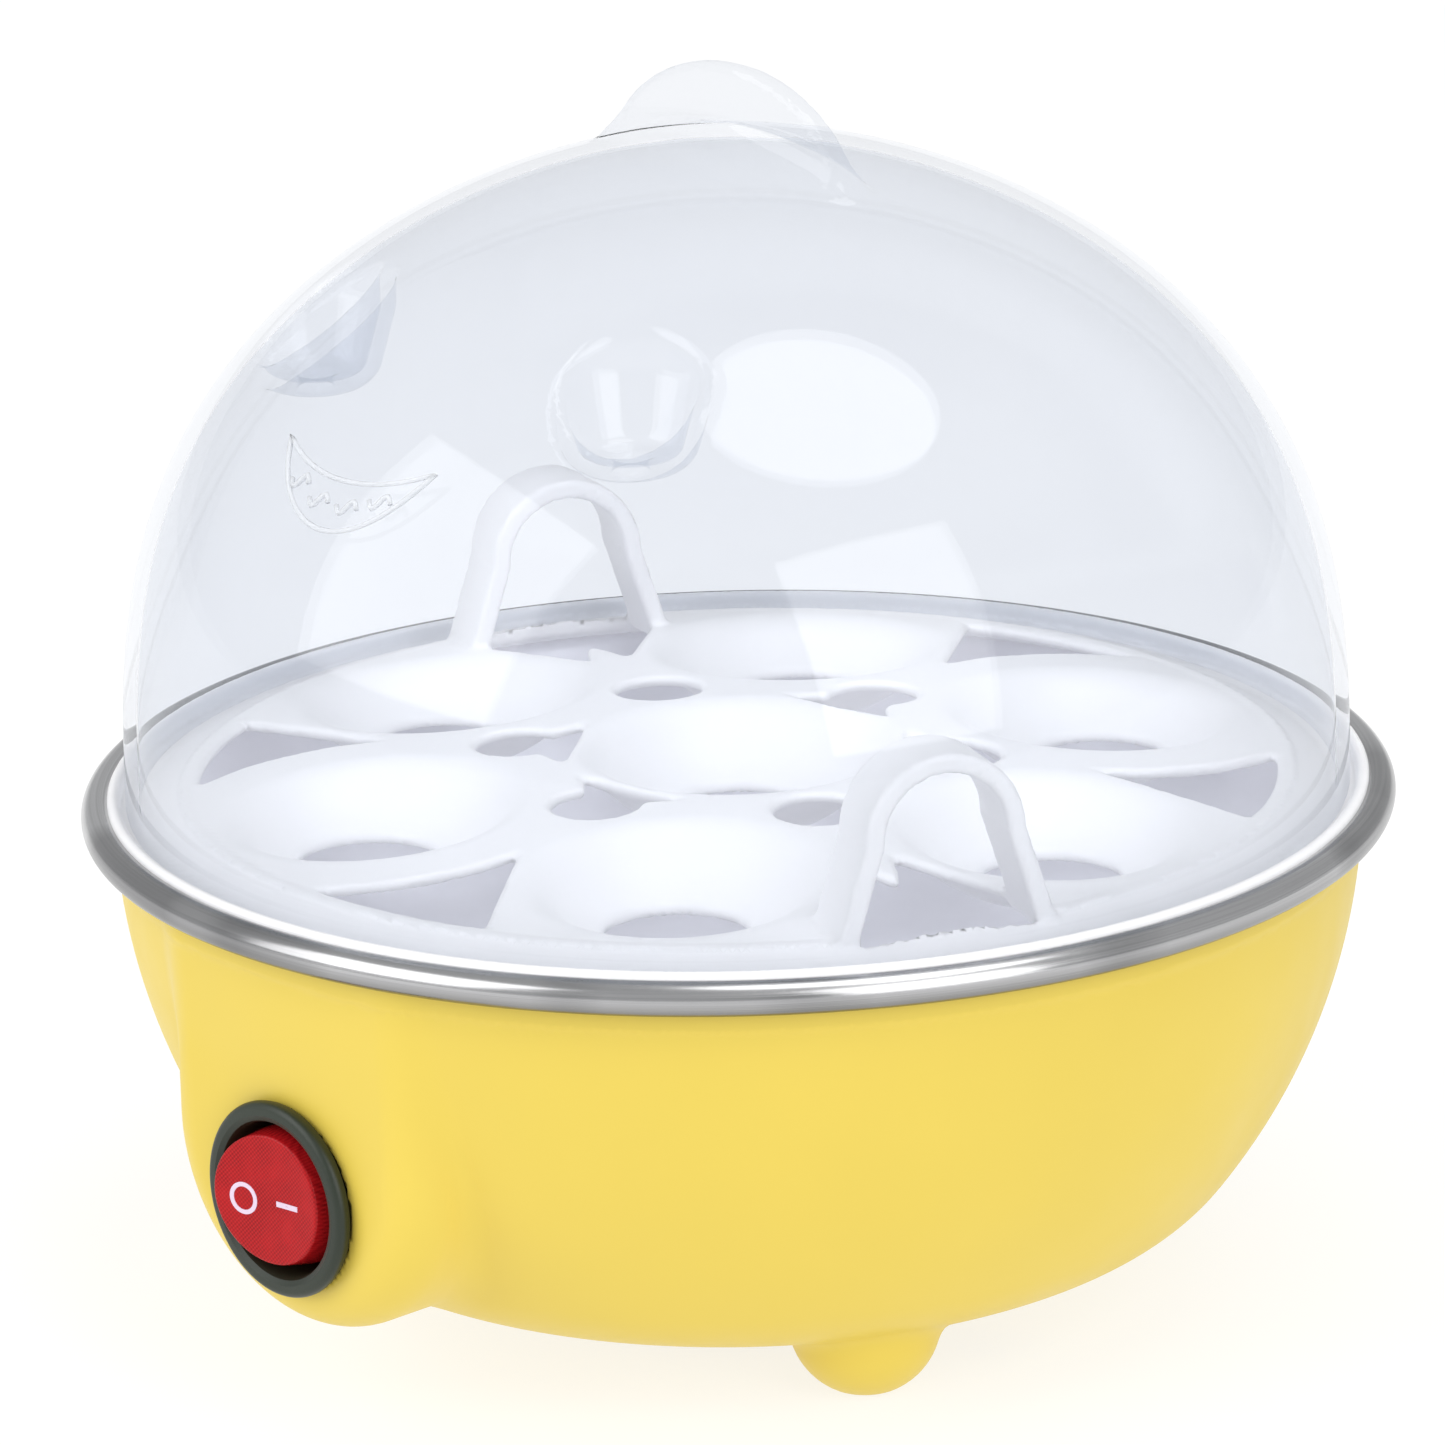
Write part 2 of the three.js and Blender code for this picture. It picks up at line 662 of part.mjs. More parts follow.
function thermostatBody() {
  return rod(thermostatRadius - 0.6, bodyBottom, bodyTop).translate(...thermostatPlace, 0);
}

const thermostatBladeLength = 4.5;
const thermostatBladeSpacing = 5;

function thermostatBlade(side) {
  const [x, y] = thermostatPlace;
  const [thickness, , width] = bladeSize;
  const middle = bodyBottom - gap - thermostatBladeLength / 2;
  return box(thickness, width, thermostatBladeLength, x + side * thermostatBladeSpacing, y, middle);
}

const fuseZ = plateBottom - gap - fuseRadius;

function thermalFuse() {
  const [x, y] = fusePlace;
  return rod(fuseRadius, -fuseLength / 2, fuseLength / 2, 16).rotateY(Math.PI / 2).translate(x, y, fuseZ);
}

function terminalBlock() {
  const [width, depth, height] = terminalBlockSize;
  const [x, y] = terminalBlockPlace;
  const bottom = innerFloorZ + gap;
  let block = solid(box(width, depth, height, x, y, bottom + height / 2));
  for (const side of [-1, 1]) {
    const well = solid(rod(2, bottom + height / 2, bottom + height + past, 12));
    block = block.subtract(well.translate([x + (side * width) / 4, y, 0]));
  }
  return block;
}

// ---------------------------------------------------------------- switch
function switchHousing() {
  const back = barrelEnd + barrelWall * 2;
  const front = housingFace + gap + bezelThickness;
  const bevel = bezelThickness / 2;
  const profile = [
    [0, barrelEnd],
    [barrelRadius, barrelEnd],
    [barrelRadius, housingFace + gap],
    [bezelRadius, housingFace + gap],
    [bezelRadius, front - bevel],
    [bezelRadius - bevel, front],
    [openingRadius, front],
    [openingRadius, back],
    [0, back],
  ];
  let body = solid(turnedToFront(profile, switchZ, 32));
  for (const side of [-1, 0, 1]) {
    const [thickness, , width] = bladeSize;
    const slot = box(thickness + 2 * gap, past * 2, width + 2 * gap, side * bladeSpacing, -barrelEnd, switchZ);
    body = body.subtract(solid(slot));
  }
  return body;
}

function switchBlade(side) {
  const [thickness, free, width] = bladeSize;
  const length = free + 3;
  return box(thickness, length, width, side * bladeSpacing, -(barrelEnd - free + length / 2), switchZ);
}

function bladeEnd(side) {
  return [side * bladeSpacing, -(barrelEnd - bladeSize[1] - wireEnd), switchZ];
}

function indicatorLamp() {
  const radius = 1.4;
  const length = 9;
  const depth = barrelEnd + barrelWall * 2 + 2 * gap + radius + 1;
  const place = [0, -depth, switchZ + openingRadius / 2];
  return rod(radius, -length / 2, length / 2, 12).rotateY(Math.PI / 2).translate(...place);
}

function rocker() {
  const face = housingFace + rockerStandOut - rockerPivot;
  const profile = [
    [0, face - rockerThickness],
    [rockerRadius - 1, face - rockerThickness],
    [rockerRadius, face - rockerThickness + 1],
    [rockerRadius, face - 0.8],
    [rockerRadius - 0.8, face],
    [0, face],
  ];
  const disc = turned(profile, 32).rotateX(Math.PI / 2).rotateZ(radians(rockerTilt));
  return disc.translate(0, -rockerPivot, switchZ);
}

// ---------------------------------------------------------------- cord inlet
function cordGland() {
  const flangeFrom = glandFace + gap;
  const inner = glandFace - glandBossLength - gap;
  const profile = [
    [glandBore, inner - glandFlangeThickness],
    [glandBody, inner - glandFlangeThickness],
    [glandBody + glandLip, inner - gap],
    [glandBody + glandLip, inner],
    [glandBody, inner],
    [glandBody, flangeFrom],
    [glandFlange, flangeFrom],
    [glandFlange, flangeFrom + glandFlangeThickness],
    [glandBore, flangeFrom + glandFlangeThickness],
  ];
  return turnedRing(profile).rotateX(-Math.PI / 2).translate(0, 0, glandHeight);
}

// ---------------------------------------------------------------- wiring
const wireEnd = gap + wireRadius; // leaves room for the wire to lean
const blockFront = terminalBlockPlace[1] - terminalBlockSize[1] / 2 - wireEnd;
const blockMiddleZ = innerFloorZ + gap + terminalBlockSize[2] / 2;
const polePitch = terminalBlockSize[0] / 4;
const wireFloor = innerFloorZ + 3 * wireRadius;
const thermostatWireZ = bodyBottom - gap - thermostatBladeLength - wireEnd;
const pinWireZ = tubeZ - heaterTubeRadius - heaterTail - 2 * gap - heaterPinLength - wireEnd;

function polePoint(side) {
  return [terminalBlockPlace[0] + side * polePitch, blockFront, blockMiddleZ];
}

function thermostatPoint(side) {
  const [x, y] = thermostatPlace;
  return [x + side * thermostatBladeSpacing, y, thermostatWireZ];
}

function liveWire() {
  const pole = polePoint(-1);
  return wire([pole, [pole[0] - 2, 12, wireFloor], [-30, -12, wireFloor], [-16, -38, switchZ - 6], bladeEnd(-1)]);
}

function switchedWire() {
  const end = thermostatPoint(1);
  return wire([bladeEnd(0), [1, -40, switchZ - 6], [7, -20, wireFloor + 4], [9, 4, wireFloor + 3], end]);
}

function fuseWire() {
  const [x, y] = fusePlace;
  const end = [x - fuseLength / 2 - wireEnd, y, fuseZ];
  return wire([thermostatPoint(-1), [-8, 10, wireFloor + 3], [-14, -3, wireFloor + 6], [-15, -14, fuseZ - 8], end]);
}

function heaterWire() {
  const [x, y] = fusePlace;
  const start = [x + fuseLength / 2 + wireEnd, y, fuseZ];
  const end = [...heaterPinPlace(1), pinWireZ];
  return wire([start, [15, -14, fuseZ - 8], [18, 2, wireFloor + 6], [17, 20, wireFloor + 2], [12, 27, wireFloor], end]);
}

function neutralWire() {
  const start = [...heaterPinPlace(-1), pinWireZ];
  const pole = polePoint(1);
  return wire([start, [-8, 22, wireFloor], [-14, 17, wireFloor - 1], [pole[0], 19, blockMiddleZ - 1], pole]);
}

function lampWire() {
  const [x, y] = terminalBlockPlace;
  const end = [x + terminalBlockSize[0] / 2 + wireEnd, y + 3, blockMiddleZ];
  return wire([bladeEnd(1), [13, -40, switchZ - 7], [27, -20, wireFloor], [28, 8, wireFloor], [10, 36, wireFloor], end]);
}

// ---------------------------------------------------------------- assembly
const cooker = new THREE.Group();

function piece(name, shape, look) {
  const geometry = shape instanceof THREE.BufferGeometry ? shape : geometryOf(shape);
  geometry.computeVertexNormals();
  const mesh = new THREE.Mesh(geometry, look);
  mesh.name = name;
  cooker.add(mesh);
}

piece("base_shell", baseShell(), yellowPlastic);
piece("rim_gasket", rimGasket(), silicone);
piece("heating_pan", heatingPan(), steel);
piece("egg_tray", eggTray(), whitePlastic);
piece("lid", lid(), clearPlastic);
piece("heater_plate", heaterPlate(), aluminium);
piece("heater_tube", heaterTube(), zincSteel);
piece("clamp_bracket", clampBracket(), zincSteel);
piece("stud_nut", studNut(), zincSteel);
piece("thermostat_cap", thermostatCap(), aluminium);
piece("thermostat_body", thermostatBody(), bakelite);
piece("thermal_fuse", thermalFuse(), whiteSleeve);
piece("terminal_block", terminalBlock(), blockPlastic);
piece("cord_gland", cordGland(), blackPlastic);
piece("switch_housing", switchHousing(), blackPlastic);
piece("indicator_lamp", indicatorLamp(), lampGlass);
piece("rocker", rocker(), redPlastic);
piece("live_wire", liveWire(), redSleeve);
piece("switched_wire", switchedWire(), redSleeve);
piece("fuse_wire", fuseWire(), whiteSleeve);
piece("heater_wire", heaterWire(), whiteSleeve);
piece("neutral_wire", neutralWire(), blueSleeve);
piece("lamp_wire", lampWire(), blueSleeve);
[-1, 1].forEach((side, i) => {
  piece(`base_screw_${i + 1}`, baseScrew(side), zincSteel);
  piece(`heater_pin_${i + 1}`, heaterPin(side), brass);
  piece(`thermostat_blade_${i + 1}`, thermostatBlade(side), brass);
});
[-1, 0, 1].forEach((side, i) => piece(`switch_blade_${i + 1}`, switchBlade(side), brass));

export default cooker;
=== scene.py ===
"""The egg cooker's looks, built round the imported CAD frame.

Sizes are in millimetres until a mesh is made; Blender's own are metres.
"""
import math

import bpy
import numpy as np
from mathutils import Matrix, Vector


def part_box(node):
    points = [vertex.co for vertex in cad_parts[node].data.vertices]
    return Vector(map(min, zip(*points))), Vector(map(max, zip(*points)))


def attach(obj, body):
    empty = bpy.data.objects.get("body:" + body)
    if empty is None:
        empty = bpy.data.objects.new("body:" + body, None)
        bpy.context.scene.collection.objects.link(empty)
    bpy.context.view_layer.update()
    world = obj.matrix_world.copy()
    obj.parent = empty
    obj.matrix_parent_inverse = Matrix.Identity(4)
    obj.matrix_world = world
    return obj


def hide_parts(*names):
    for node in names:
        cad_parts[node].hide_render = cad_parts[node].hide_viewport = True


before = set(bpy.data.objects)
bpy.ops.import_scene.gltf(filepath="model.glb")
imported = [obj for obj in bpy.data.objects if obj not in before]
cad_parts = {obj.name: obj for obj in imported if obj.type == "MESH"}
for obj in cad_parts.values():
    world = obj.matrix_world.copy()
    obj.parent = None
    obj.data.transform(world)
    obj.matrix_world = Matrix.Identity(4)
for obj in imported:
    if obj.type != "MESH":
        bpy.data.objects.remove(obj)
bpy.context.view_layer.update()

MM = 0.001


# ---------------------------------------------------------------- sizes worked out from the frame
def box_mm(node):
    low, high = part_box(node)
    return [round(v / MM, 1) for v in low], [round(v / MM, 1) for v in high]


GAP = 0.3

PAN_LOW, PAN_HIGH = box_mm("heating_pan")
ROLL_RADIUS = 2.1
RIM_RADIUS = PAN_HIGH[0]
RIM_Z = PAN_HIGH[2] - ROLL_RADIUS
ROLL_CENTRE = RIM_RADIUS - ROLL_RADIUS
PAN_SHEET = 0.8
PAN_DEPTH = 21
PAN_FLOOR = RIM_Z - PAN_DEPTH
PAN_FLOOR_RADIUS = 52
PAN_LEDGE_WIDTH = 5
ROLL_FOLD = 1.3  # how far the roll overhangs the tray's lip
LEDGE_TOP = RIM_Z - ROLL_RADIUS + PAN_SHEET

SHELL_HIGH = box_mm("base_shell")[1]
SHELL_WALL = 2.2
SHELL_TOP = SHELL_HIGH[2]
BOWL_RADIUS = SHELL_HIGH[0]
BOWL_DEPTH = 54.5
BOWL_FLOOR = RIM_Z - BOWL_DEPTH
BOWL_FILLET = 21
FOOT_REACH = 43.6
FOOT_RADIUS = 9.2
FOOT_SINK = 0.6
FOOT_BEARINGS = (65, -65, 180)

SWITCH_LOW, SWITCH_HIGH = box_mm("switch_housing")
SWITCH_Z = (SWITCH_LOW[2] + SWITCH_HIGH[2]) / 2
BEZEL_RADIUS = SWITCH_HIGH[0]
BEZEL_FRONT = -SWITCH_LOW[1]
BEZEL_THICKNESS = 1.8
BARREL_RADIUS = 10.4
BARREL_WALL = 0.9
BARREL_END = -SWITCH_HIGH[1]
HOUSING_FACE = BEZEL_FRONT - BEZEL_THICKNESS - GAP
HOUSING_HALF = 23.2
HOUSING_EDGE = 6.5
HOUSING_BELOW_SWITCH = 17.5
HOUSING_BOTTOM = SWITCH_Z - HOUSING_BELOW_SWITCH
SWITCH_HOLE = BARREL_RADIUS + GAP

ROCKER_RADIUS = 8.55
ROCKER_FACE = 77.5
ROCKER_DRAFT = 0.5
ROCKER_THICKNESS = 8.0
ROCKER_PIVOT_DEPTH = 1.6  # behind the housing's face
ROCKER_PIVOT = HOUSING_FACE - ROCKER_PIVOT_DEPTH
ROCKER_TILT = 8
ROCKER_DIP = 0.55  # the face's hollow, deepest across the pivot
ROCKER_CROWN = 0.12
OFF_MARK = (-3.65, -0.4)
OFF_MARK_RADII = (2.0, 1.45)
ON_MARK = (3.1, -0.1)
ON_MARK_HALVES = ((1.7, 0.33), (0.2, 0.02))

TRAY_HIGH = box_mm("egg_tray")[1]
LIP_OUTER = TRAY_HIGH[0]
TRAY_WALL = 1.5
PLATEAU_RADIUS = RIM_RADIUS - 12.1
CROWN = RIM_Z + 6.1  # top of the tray's middle
CROWN_DROP = 3.5
GUTTER_TOP = RIM_Z + 0.5
LIP_TOP = RIM_Z + 2.6
LIP_WIDTH = 1.6
SEAT_BALL = 22
SEAT_HOLE = 8.7
SEAT_FLOOR = RIM_Z - 1.9
SEAT_REACH = 47.6
SEAT_RIM = 17.0
VENT_RADIUS = 5.35
VENT_REACH = 26.9
TRAY_TURN = 7.6
SEAT_COUNT = 6
CORNER_EDGE = PLATEAU_RADIUS - 2.5
CORNER_BAND = SEAT_RIM + 9.3
ARCH_BEARINGS = (TRAY_TURN + 60, TRAY_TURN - 120)
ARCH_HALF = 14
ARCH_TOP_RADIUS = 10
ARCH_HEIGHT = 22.8
ARCH_STRAP = 2.4
ARCH_DEPTH = 9.2
ARCH_REACH = PLATEAU_RADIUS - ARCH_DEPTH / 2

LID_LOW, LID_HIGH = box_mm("lid")
LID_RADIUS = LID_HIGH[0]
LID_WALL = 1.8
LID_BOTTOM = LID_LOW[2]
LID_SPRING = RIM_Z + 3.6
LID_APEX = RIM_Z + 82
LID_CROWN_POWER = 2.695
LID_SIDE_POWER = 1.712
CUP_REACH = 49.8
CUP_BEARINGS = (33.7, -33.7)
CUP_MOUTH = 8.05
CUP_FLOOR_RADIUS = 5.8
CUP_FLOOR = LID_APEX - 25.8
CUP_HOLE = 2
FIN_TOP = LID_HIGH[2]
FIN_OFFSET = 1.9
FIN_HALF = 20.3
FIN_CENTRE = LID_APEX - 6
FIN_THICKNESS = 3.4
EMBLEM_HALF = 12.2
EMBLEM_LOW = 47.2
EMBLEM_TALL = 5.2
EMBLEM_SAG = 7.6
EMBLEM_LINE = 0.34  # half the thickness of its raised lines
WAVE_BEARINGS = (-6.4, -2.2, 2.2, 6.4)
WAVE_HALF = 1.5
WAVE_RISE = 0.75
PAD_HALF = 22
PAD_WIDTH = 7.5
PAD_RISE = 0.7

GLAND_LOW, GLAND_HIGH = box_mm("cord_gland")
GLAND_Z = (GLAND_LOW[2] + GLAND_HIGH[2]) / 2
GLAND_FACE = 66.5
GLAND_BOSS = 7.6
GLAND_BOSS_LENGTH = 8.5
GLAND_FLANGE = 6.2
GLAND_BORE = 3.3
GLAND_BODY = GLAND_BORE + 1.2

SCREW_REACH = 40
SCREW_HEAD = 3.7
SCREW_HEAD_HEIGHT = 2.5
SCREW_SHANK = 1.9
BOSS_WALL = 2.1
COUNTERBORE = SCREW_HEAD + GAP
SCREW_SEAT = BOWL_FLOOR + SHELL_WALL + SCREW_HEAD_HEIGHT
BOSS_TOP = box_mm("clamp_bracket")[0][2] - GAP
CREST_WIDTH = 0.9
SHELL_EDGE = SHELL_TOP + 0.8
BAND_HEIGHT = 2.1
BAND_STEP = 0.3


# ---------------------------------------------------------------- fields: negative inside, in millimetres
def smooth_min(a, b, k):
    h = np.clip(0.5 + 0.5 * (b - a) / k, 0, 1)
    return b + (a - b) * h - k * h * (1 - h)


def smooth_max(a, b, k):
    return -smooth_min(-a, -b, k)


def at_bearing(reach, bearing):
    turn = math.radians(bearing)
    return reach * math.sin(turn), -reach * math.cos(turn)


def ball(x, y, z, centre, radius):
    return np.sqrt((x - centre[0]) ** 2 + (y - centre[1]) ** 2 + (z - centre[2]) ** 2) - radius


def upright(x, y, place, radius):
    return np.hypot(x - place[0], y - place[1]) - radius


def rounded_both(a, b, edge):
    """Where both hold, with a round outer edge."""
    a, b = a + edge, b + edge
    return np.minimum(np.maximum(a, b), 0) + np.hypot(np.maximum(a, 0), np.maximum(b, 0)) - edge


def capsule(r, z, start, end, radius):
    along = np.array(end, float) - start
    t = np.clip(((r - start[0]) * along[0] + (z - start[1]) * along[1]) / (along @ along), 0, 1)
    return np.hypot(r - start[0] - t * along[0], z - start[1] - t * along[1]) - radius


def bowl_field(x, y, z):
    """Part of a ball about the rim's middle, turned into a flat floor by a fillet."""
    r = np.hypot(x, y)
    reach = BOWL_RADIUS - BOWL_FILLET
    corner_z = BOWL_FLOOR + BOWL_FILLET
    corner_r = math.sqrt(reach**2 - (RIM_Z - corner_z) ** 2)
    normal_r, normal_z = corner_r / reach, (corner_z - RIM_Z) / reach
    round_part = np.hypot(r - corner_r, z - corner_z) - BOWL_FILLET
    side = np.hypot(r, z - RIM_Z) - BOWL_RADIUS
    low = (r - corner_r) * normal_z - (z - corner_z) * normal_r > 0
    return np.where(low & (r >= corner_r), round_part, np.where(low, BOWL_FLOOR - z, side))


def housing_field(x, y, z):
    """The switch housing: a U in front view behind a flat face, with a rounded front edge."""
    spring = HOUSING_BOTTOM + HOUSING_HALF
    outline = np.where(z > spring, np.abs(x), np.hypot(x, z - spring)) - HOUSING_HALF
    drawn = rounded_both(outline, -y - HOUSING_FACE, HOUSING_EDGE)
    return np.maximum(drawn, y + BOWL_RADIUS - 2 * HOUSING_HALF)


def outside_field(x, y, z):
    d = smooth_min(bowl_field(x, y, z), housing_field(x, y, z), 2.4)
    below = np.clip(SHELL_TOP - BAND_HEIGHT - z, 0, 1)
    d = d + BAND_STEP * below**2 * (3 - 2 * below)
    for bearing in FOOT_BEARINGS:
        foot = ball(x, y, z, (*at_bearing(FOOT_REACH, bearing), FOOT_RADIUS - FOOT_SINK), FOOT_RADIUS)
        d = smooth_min(d, foot, 2.2)
    return smooth_max(d, -z, 0.6)


def shell_field(x, y, z):
    outside = outside_field(x, y, z)
    d = smooth_max(outside, -(outside + SHELL_WALL), 0.4)
    rear = np.hypot(x, z - GLAND_Z)
    boss = np.maximum(rear - GLAND_BOSS, np.maximum(GLAND_FACE - GLAND_BOSS_LENGTH - y, y - GLAND_FACE))
    d = smooth_min(d, np.maximum(boss, outside), 1.2)
    for side in (-1, 1):
        post = upright(x, y, (side * SCREW_REACH, 0), 0)
        tall = np.maximum(post - 4.3, z - BOSS_TOP)
        wide = np.maximum(post - COUNTERBORE - BOSS_WALL, z - SCREW_SEAT - BOSS_WALL)
        d = smooth_min(d, np.maximum(np.minimum(tall, wide), outside), 0.8)
        d = smooth_max(d, 2.2 - post, 0.2)
        d = smooth_max(d, -np.maximum(post - COUNTERBORE, z - SCREW_SEAT - GAP), 0.5)
    d = smooth_max(d, -np.maximum(rear - GLAND_BOSS - GAP, GLAND_FACE - y), 0.5)
    d = smooth_max(d, -np.maximum(rear - GLAND_BODY - GAP, 50 - y), 0.3)
    hole = np.maximum(np.hypot(x, z - SWITCH_Z) - SWITCH_HOLE, y + BARREL_END)
    d = smooth_max(d, -hole, 0.4)
    crest = BOWL_RADIUS - CREST_WIDTH - np.hypot(x, y)
    return smooth_max(d, np.maximum(z - SHELL_EDGE, (z - SHELL_EDGE + crest) / math.sqrt(2)), 0.2)


def crown_top(r):
    return CROWN - CROWN_DROP * (np.minimum(r, PLATEAU_RADIUS) / PLATEAU_RADIUS) ** 2


def seat_places():
    ring = [at_bearing(SEAT_REACH, TRAY_TURN + 360 * (i + 0.5) / SEAT_COUNT) for i in range(SEAT_COUNT)]
    return [(0, 0), *ring]


def hole_bearings():
    return [TRAY_TURN + 360 * i / SEAT_COUNT for i in range(SEAT_COUNT)]


def arch_field(x, y, z, bearing):
    """The carrying arch, and the slot under it."""
    turn = math.radians(bearing)
    across = np.abs(x * math.cos(turn) + y * math.sin(turn))
    out = x * math.sin(turn) - y * math.cos(turn) - ARCH_REACH
    up = z - (crown_top(PLATEAU_RADIUS) - TRAY_WALL)
    spring = ARCH_HEIGHT - ARCH_TOP_RADIUS
    lean = math.hypot(spring, ARCH_HALF - ARCH_TOP_RADIUS)
    leg = (across - ARCH_TOP_RADIUS) * spring / lean + (up - spring) * (ARCH_HALF - ARCH_TOP_RADIUS) / lean
    outline = np.where(up > spring, np.hypot(across, up - spring) - ARCH_TOP_RADIUS, leg)
    band = np.abs(outline + ARCH_STRAP / 2) - ARCH_STRAP / 2
    strap = rounded_both(band, np.abs(out) - ARCH_DEPTH / 2, 0.7)
    strap = np.maximum(strap, -up)
    slot = np.maximum(across - ARCH_HALF + ARCH_STRAP, np.abs(out) - ARCH_DEPTH / 2 + GAP)
    return strap, np.maximum(slot, up - 8)


def tray_field(x, y, z):
    r = np.hypot(x, y)
    half = TRAY_WALL / 2
    above = z - crown_top(r)
    seats = seat_places()
    ball_z = SEAT_FLOOR + math.sqrt(SEAT_BALL**2 - SEAT_HOLE**2)
    for sx, sy in seats:
        above = smooth_max(above, -ball(x, y, z, (sx, sy, ball_z), SEAT_BALL), 2.4)
    sheet = np.maximum(np.abs(above + half) - half, r - PLATEAU_RADIUS)
    lip_r = LIP_OUTER - LIP_WIDTH / 2
    floor_z = GUTTER_TOP - half
    foot_r = LID_RADIUS - LID_WALL - 0.7
    edge = np.minimum(
        capsule(r, z, (PLATEAU_RADIUS - 0.5, crown_top(PLATEAU_RADIUS) - half), (foot_r, floor_z), half),
        capsule(r, z, (foot_r, floor_z), (lip_r, floor_z), half),
    )
    lip = capsule(r, z, (lip_r, floor_z), (lip_r, LIP_TOP - LIP_WIDTH / 2), LIP_WIDTH / 2)
    edge = smooth_min(edge, lip, 0.5)
    d = smooth_min(sheet, edge, 0.8)
    for sx, sy in seats:
        d = smooth_max(d, -upright(x, y, (sx, sy), SEAT_HOLE), 0.9)
    d = np.maximum(d, SEAT_FLOOR - TRAY_WALL - z)
    for i, bearing in enumerate(hole_bearings()):
        d = smooth_max(d, -upright(x, y, at_bearing(VENT_REACH, bearing), VENT_RADIUS), 1.0)
        if i % 3 == 1:
            continue
        near = [at_bearing(SEAT_REACH, bearing + side * 180 / SEAT_COUNT) for side in (-1, 1)]
        turn = math.radians(bearing)
        behind = 20 - (x * math.sin(turn) - y * math.cos(turn))
        corner = np.maximum(r - CORNER_EDGE, behind)
        for place in near:
            corner = smooth_max(corner, -upright(x, y, place, CORNER_BAND), 2.0)
        d = smooth_max(d, -corner, 1.0)
    for bearing in ARCH_BEARINGS:
        strap, slot = arch_field(x, y, z, bearing)
        d = smooth_max(d, -slot, 0.6)
        d = smooth_min(d, strap, 1.0)
    return d


def dome_field(x, y, z):
    """Distance to the lid's plain outside, good near the surface."""
    r = np.hypot(x, y)
    r = np.sqrt(r**2 + 16 * np.exp(-(r**2) / 300))
    up = np.maximum(z - LID_SPRING, 0) / (LID_APEX - LID_SPRING)
    out = r / LID_RADIUS
    value = up**LID_CROWN_POWER + out**LID_SIDE_POWER - 1
    slope_z = LID_CROWN_POWER * up ** (LID_CROWN_POWER - 1) / (LID_APEX - LID_SPRING)
    slope_r = LID_SIDE_POWER * out ** (LID_SIDE_POWER - 1) / LID_RADIUS
    return value / np.maximum(np.hypot(slope_z, slope_r), 1e-3)


def cup_field(x, y, z, bearing):
    """The air in a vent cup."""
    rho = upright(x, y, at_bearing(CUP_REACH, bearing), 0)
    draft = (CUP_MOUTH - CUP_FLOOR_RADIUS) / CUP_MOUTH
    radius = CUP_FLOOR_RADIUS + np.clip(z - CUP_FLOOR, -3, CUP_MOUTH) * draft
    return rounded_both((rho - radius) * math.cos(math.atan(draft)), CUP_FLOOR - z, 1.2)


def fin_field(x, y, z):
    rise = FIN_TOP - FIN_CENTRE
    e = np.hypot((x - FIN_OFFSET) / FIN_HALF, (z - FIN_CENTRE) / rise)
    slope = np.hypot((x - FIN_OFFSET) / FIN_HALF**2, (z - FIN_CENTRE) / rise**2) / np.maximum(e, 1e-3)
    outline = (e - 1) / np.maximum(slope, 1e-3)
    half = FIN_THICKNESS / 2 - 0.03 * (z - LID_APEX)
    fin = rounded_both(outline, np.abs(y) - half, 0.9)
    return np.maximum(fin, FIN_CENTRE - 8 - z)


def lens_field(x, y):
    """The lens-shaped pad under the fin, in plan."""
    radius = (PAD_HALF**2 + PAD_WIDTH**2) / (2 * PAD_WIDTH)
    shift = radius - PAD_WIDTH
    return np.hypot(x - FIN_OFFSET, np.abs(y) + shift) - radius


def lid_field(x, y, z):
    outer = dome_field(x, y, z)
    cavity = outer + LID_WALL
    for bearing in CUP_BEARINGS:
        air = cup_field(x, y, z, bearing)
        outer = smooth_max(outer, -air, 1.4)
        cavity = smooth_max(cavity, LID_WALL - air, 1.4)
    pad = smooth_max(dome_field(x, y, z) - PAD_RISE, lens_field(x, y) * 0.35, 1.0)
    outer = smooth_min(smooth_min(outer, pad, 0.8), fin_field(x, y, z), 3.2)
    d = smooth_max(outer, -cavity, 0.3)
    for bearing in CUP_BEARINGS:
        d = smooth_max(d, -upright(x, y, at_bearing(CUP_REACH, bearing), CUP_HOLE), 0.5)
    return smooth_max(d, LID_BOTTOM - z, 0.8)


# ---------------------------------------------------------------- meshes
def slopes(field, points, h=0.04):
    columns = []
    for axis in range(3):
        step = np.zeros(3)
        step[axis] = h
        columns.append((field(*(points + step).T) - field(*(points - step).T)) / (2 * h))
    return np.stack(columns, 1)


def onto(field, points, rounds, reach):
    for _ in range(rounds):
        slope = slopes(field, points)
        move = (field(*points.T) / np.maximum((slope**2).sum(1), 0.05))[:, None] * slope
        length = np.linalg.norm(move, axis=1, keepdims=True)
        points = points - move * np.minimum(1, reach / np.maximum(length, 1e-9))
    return points


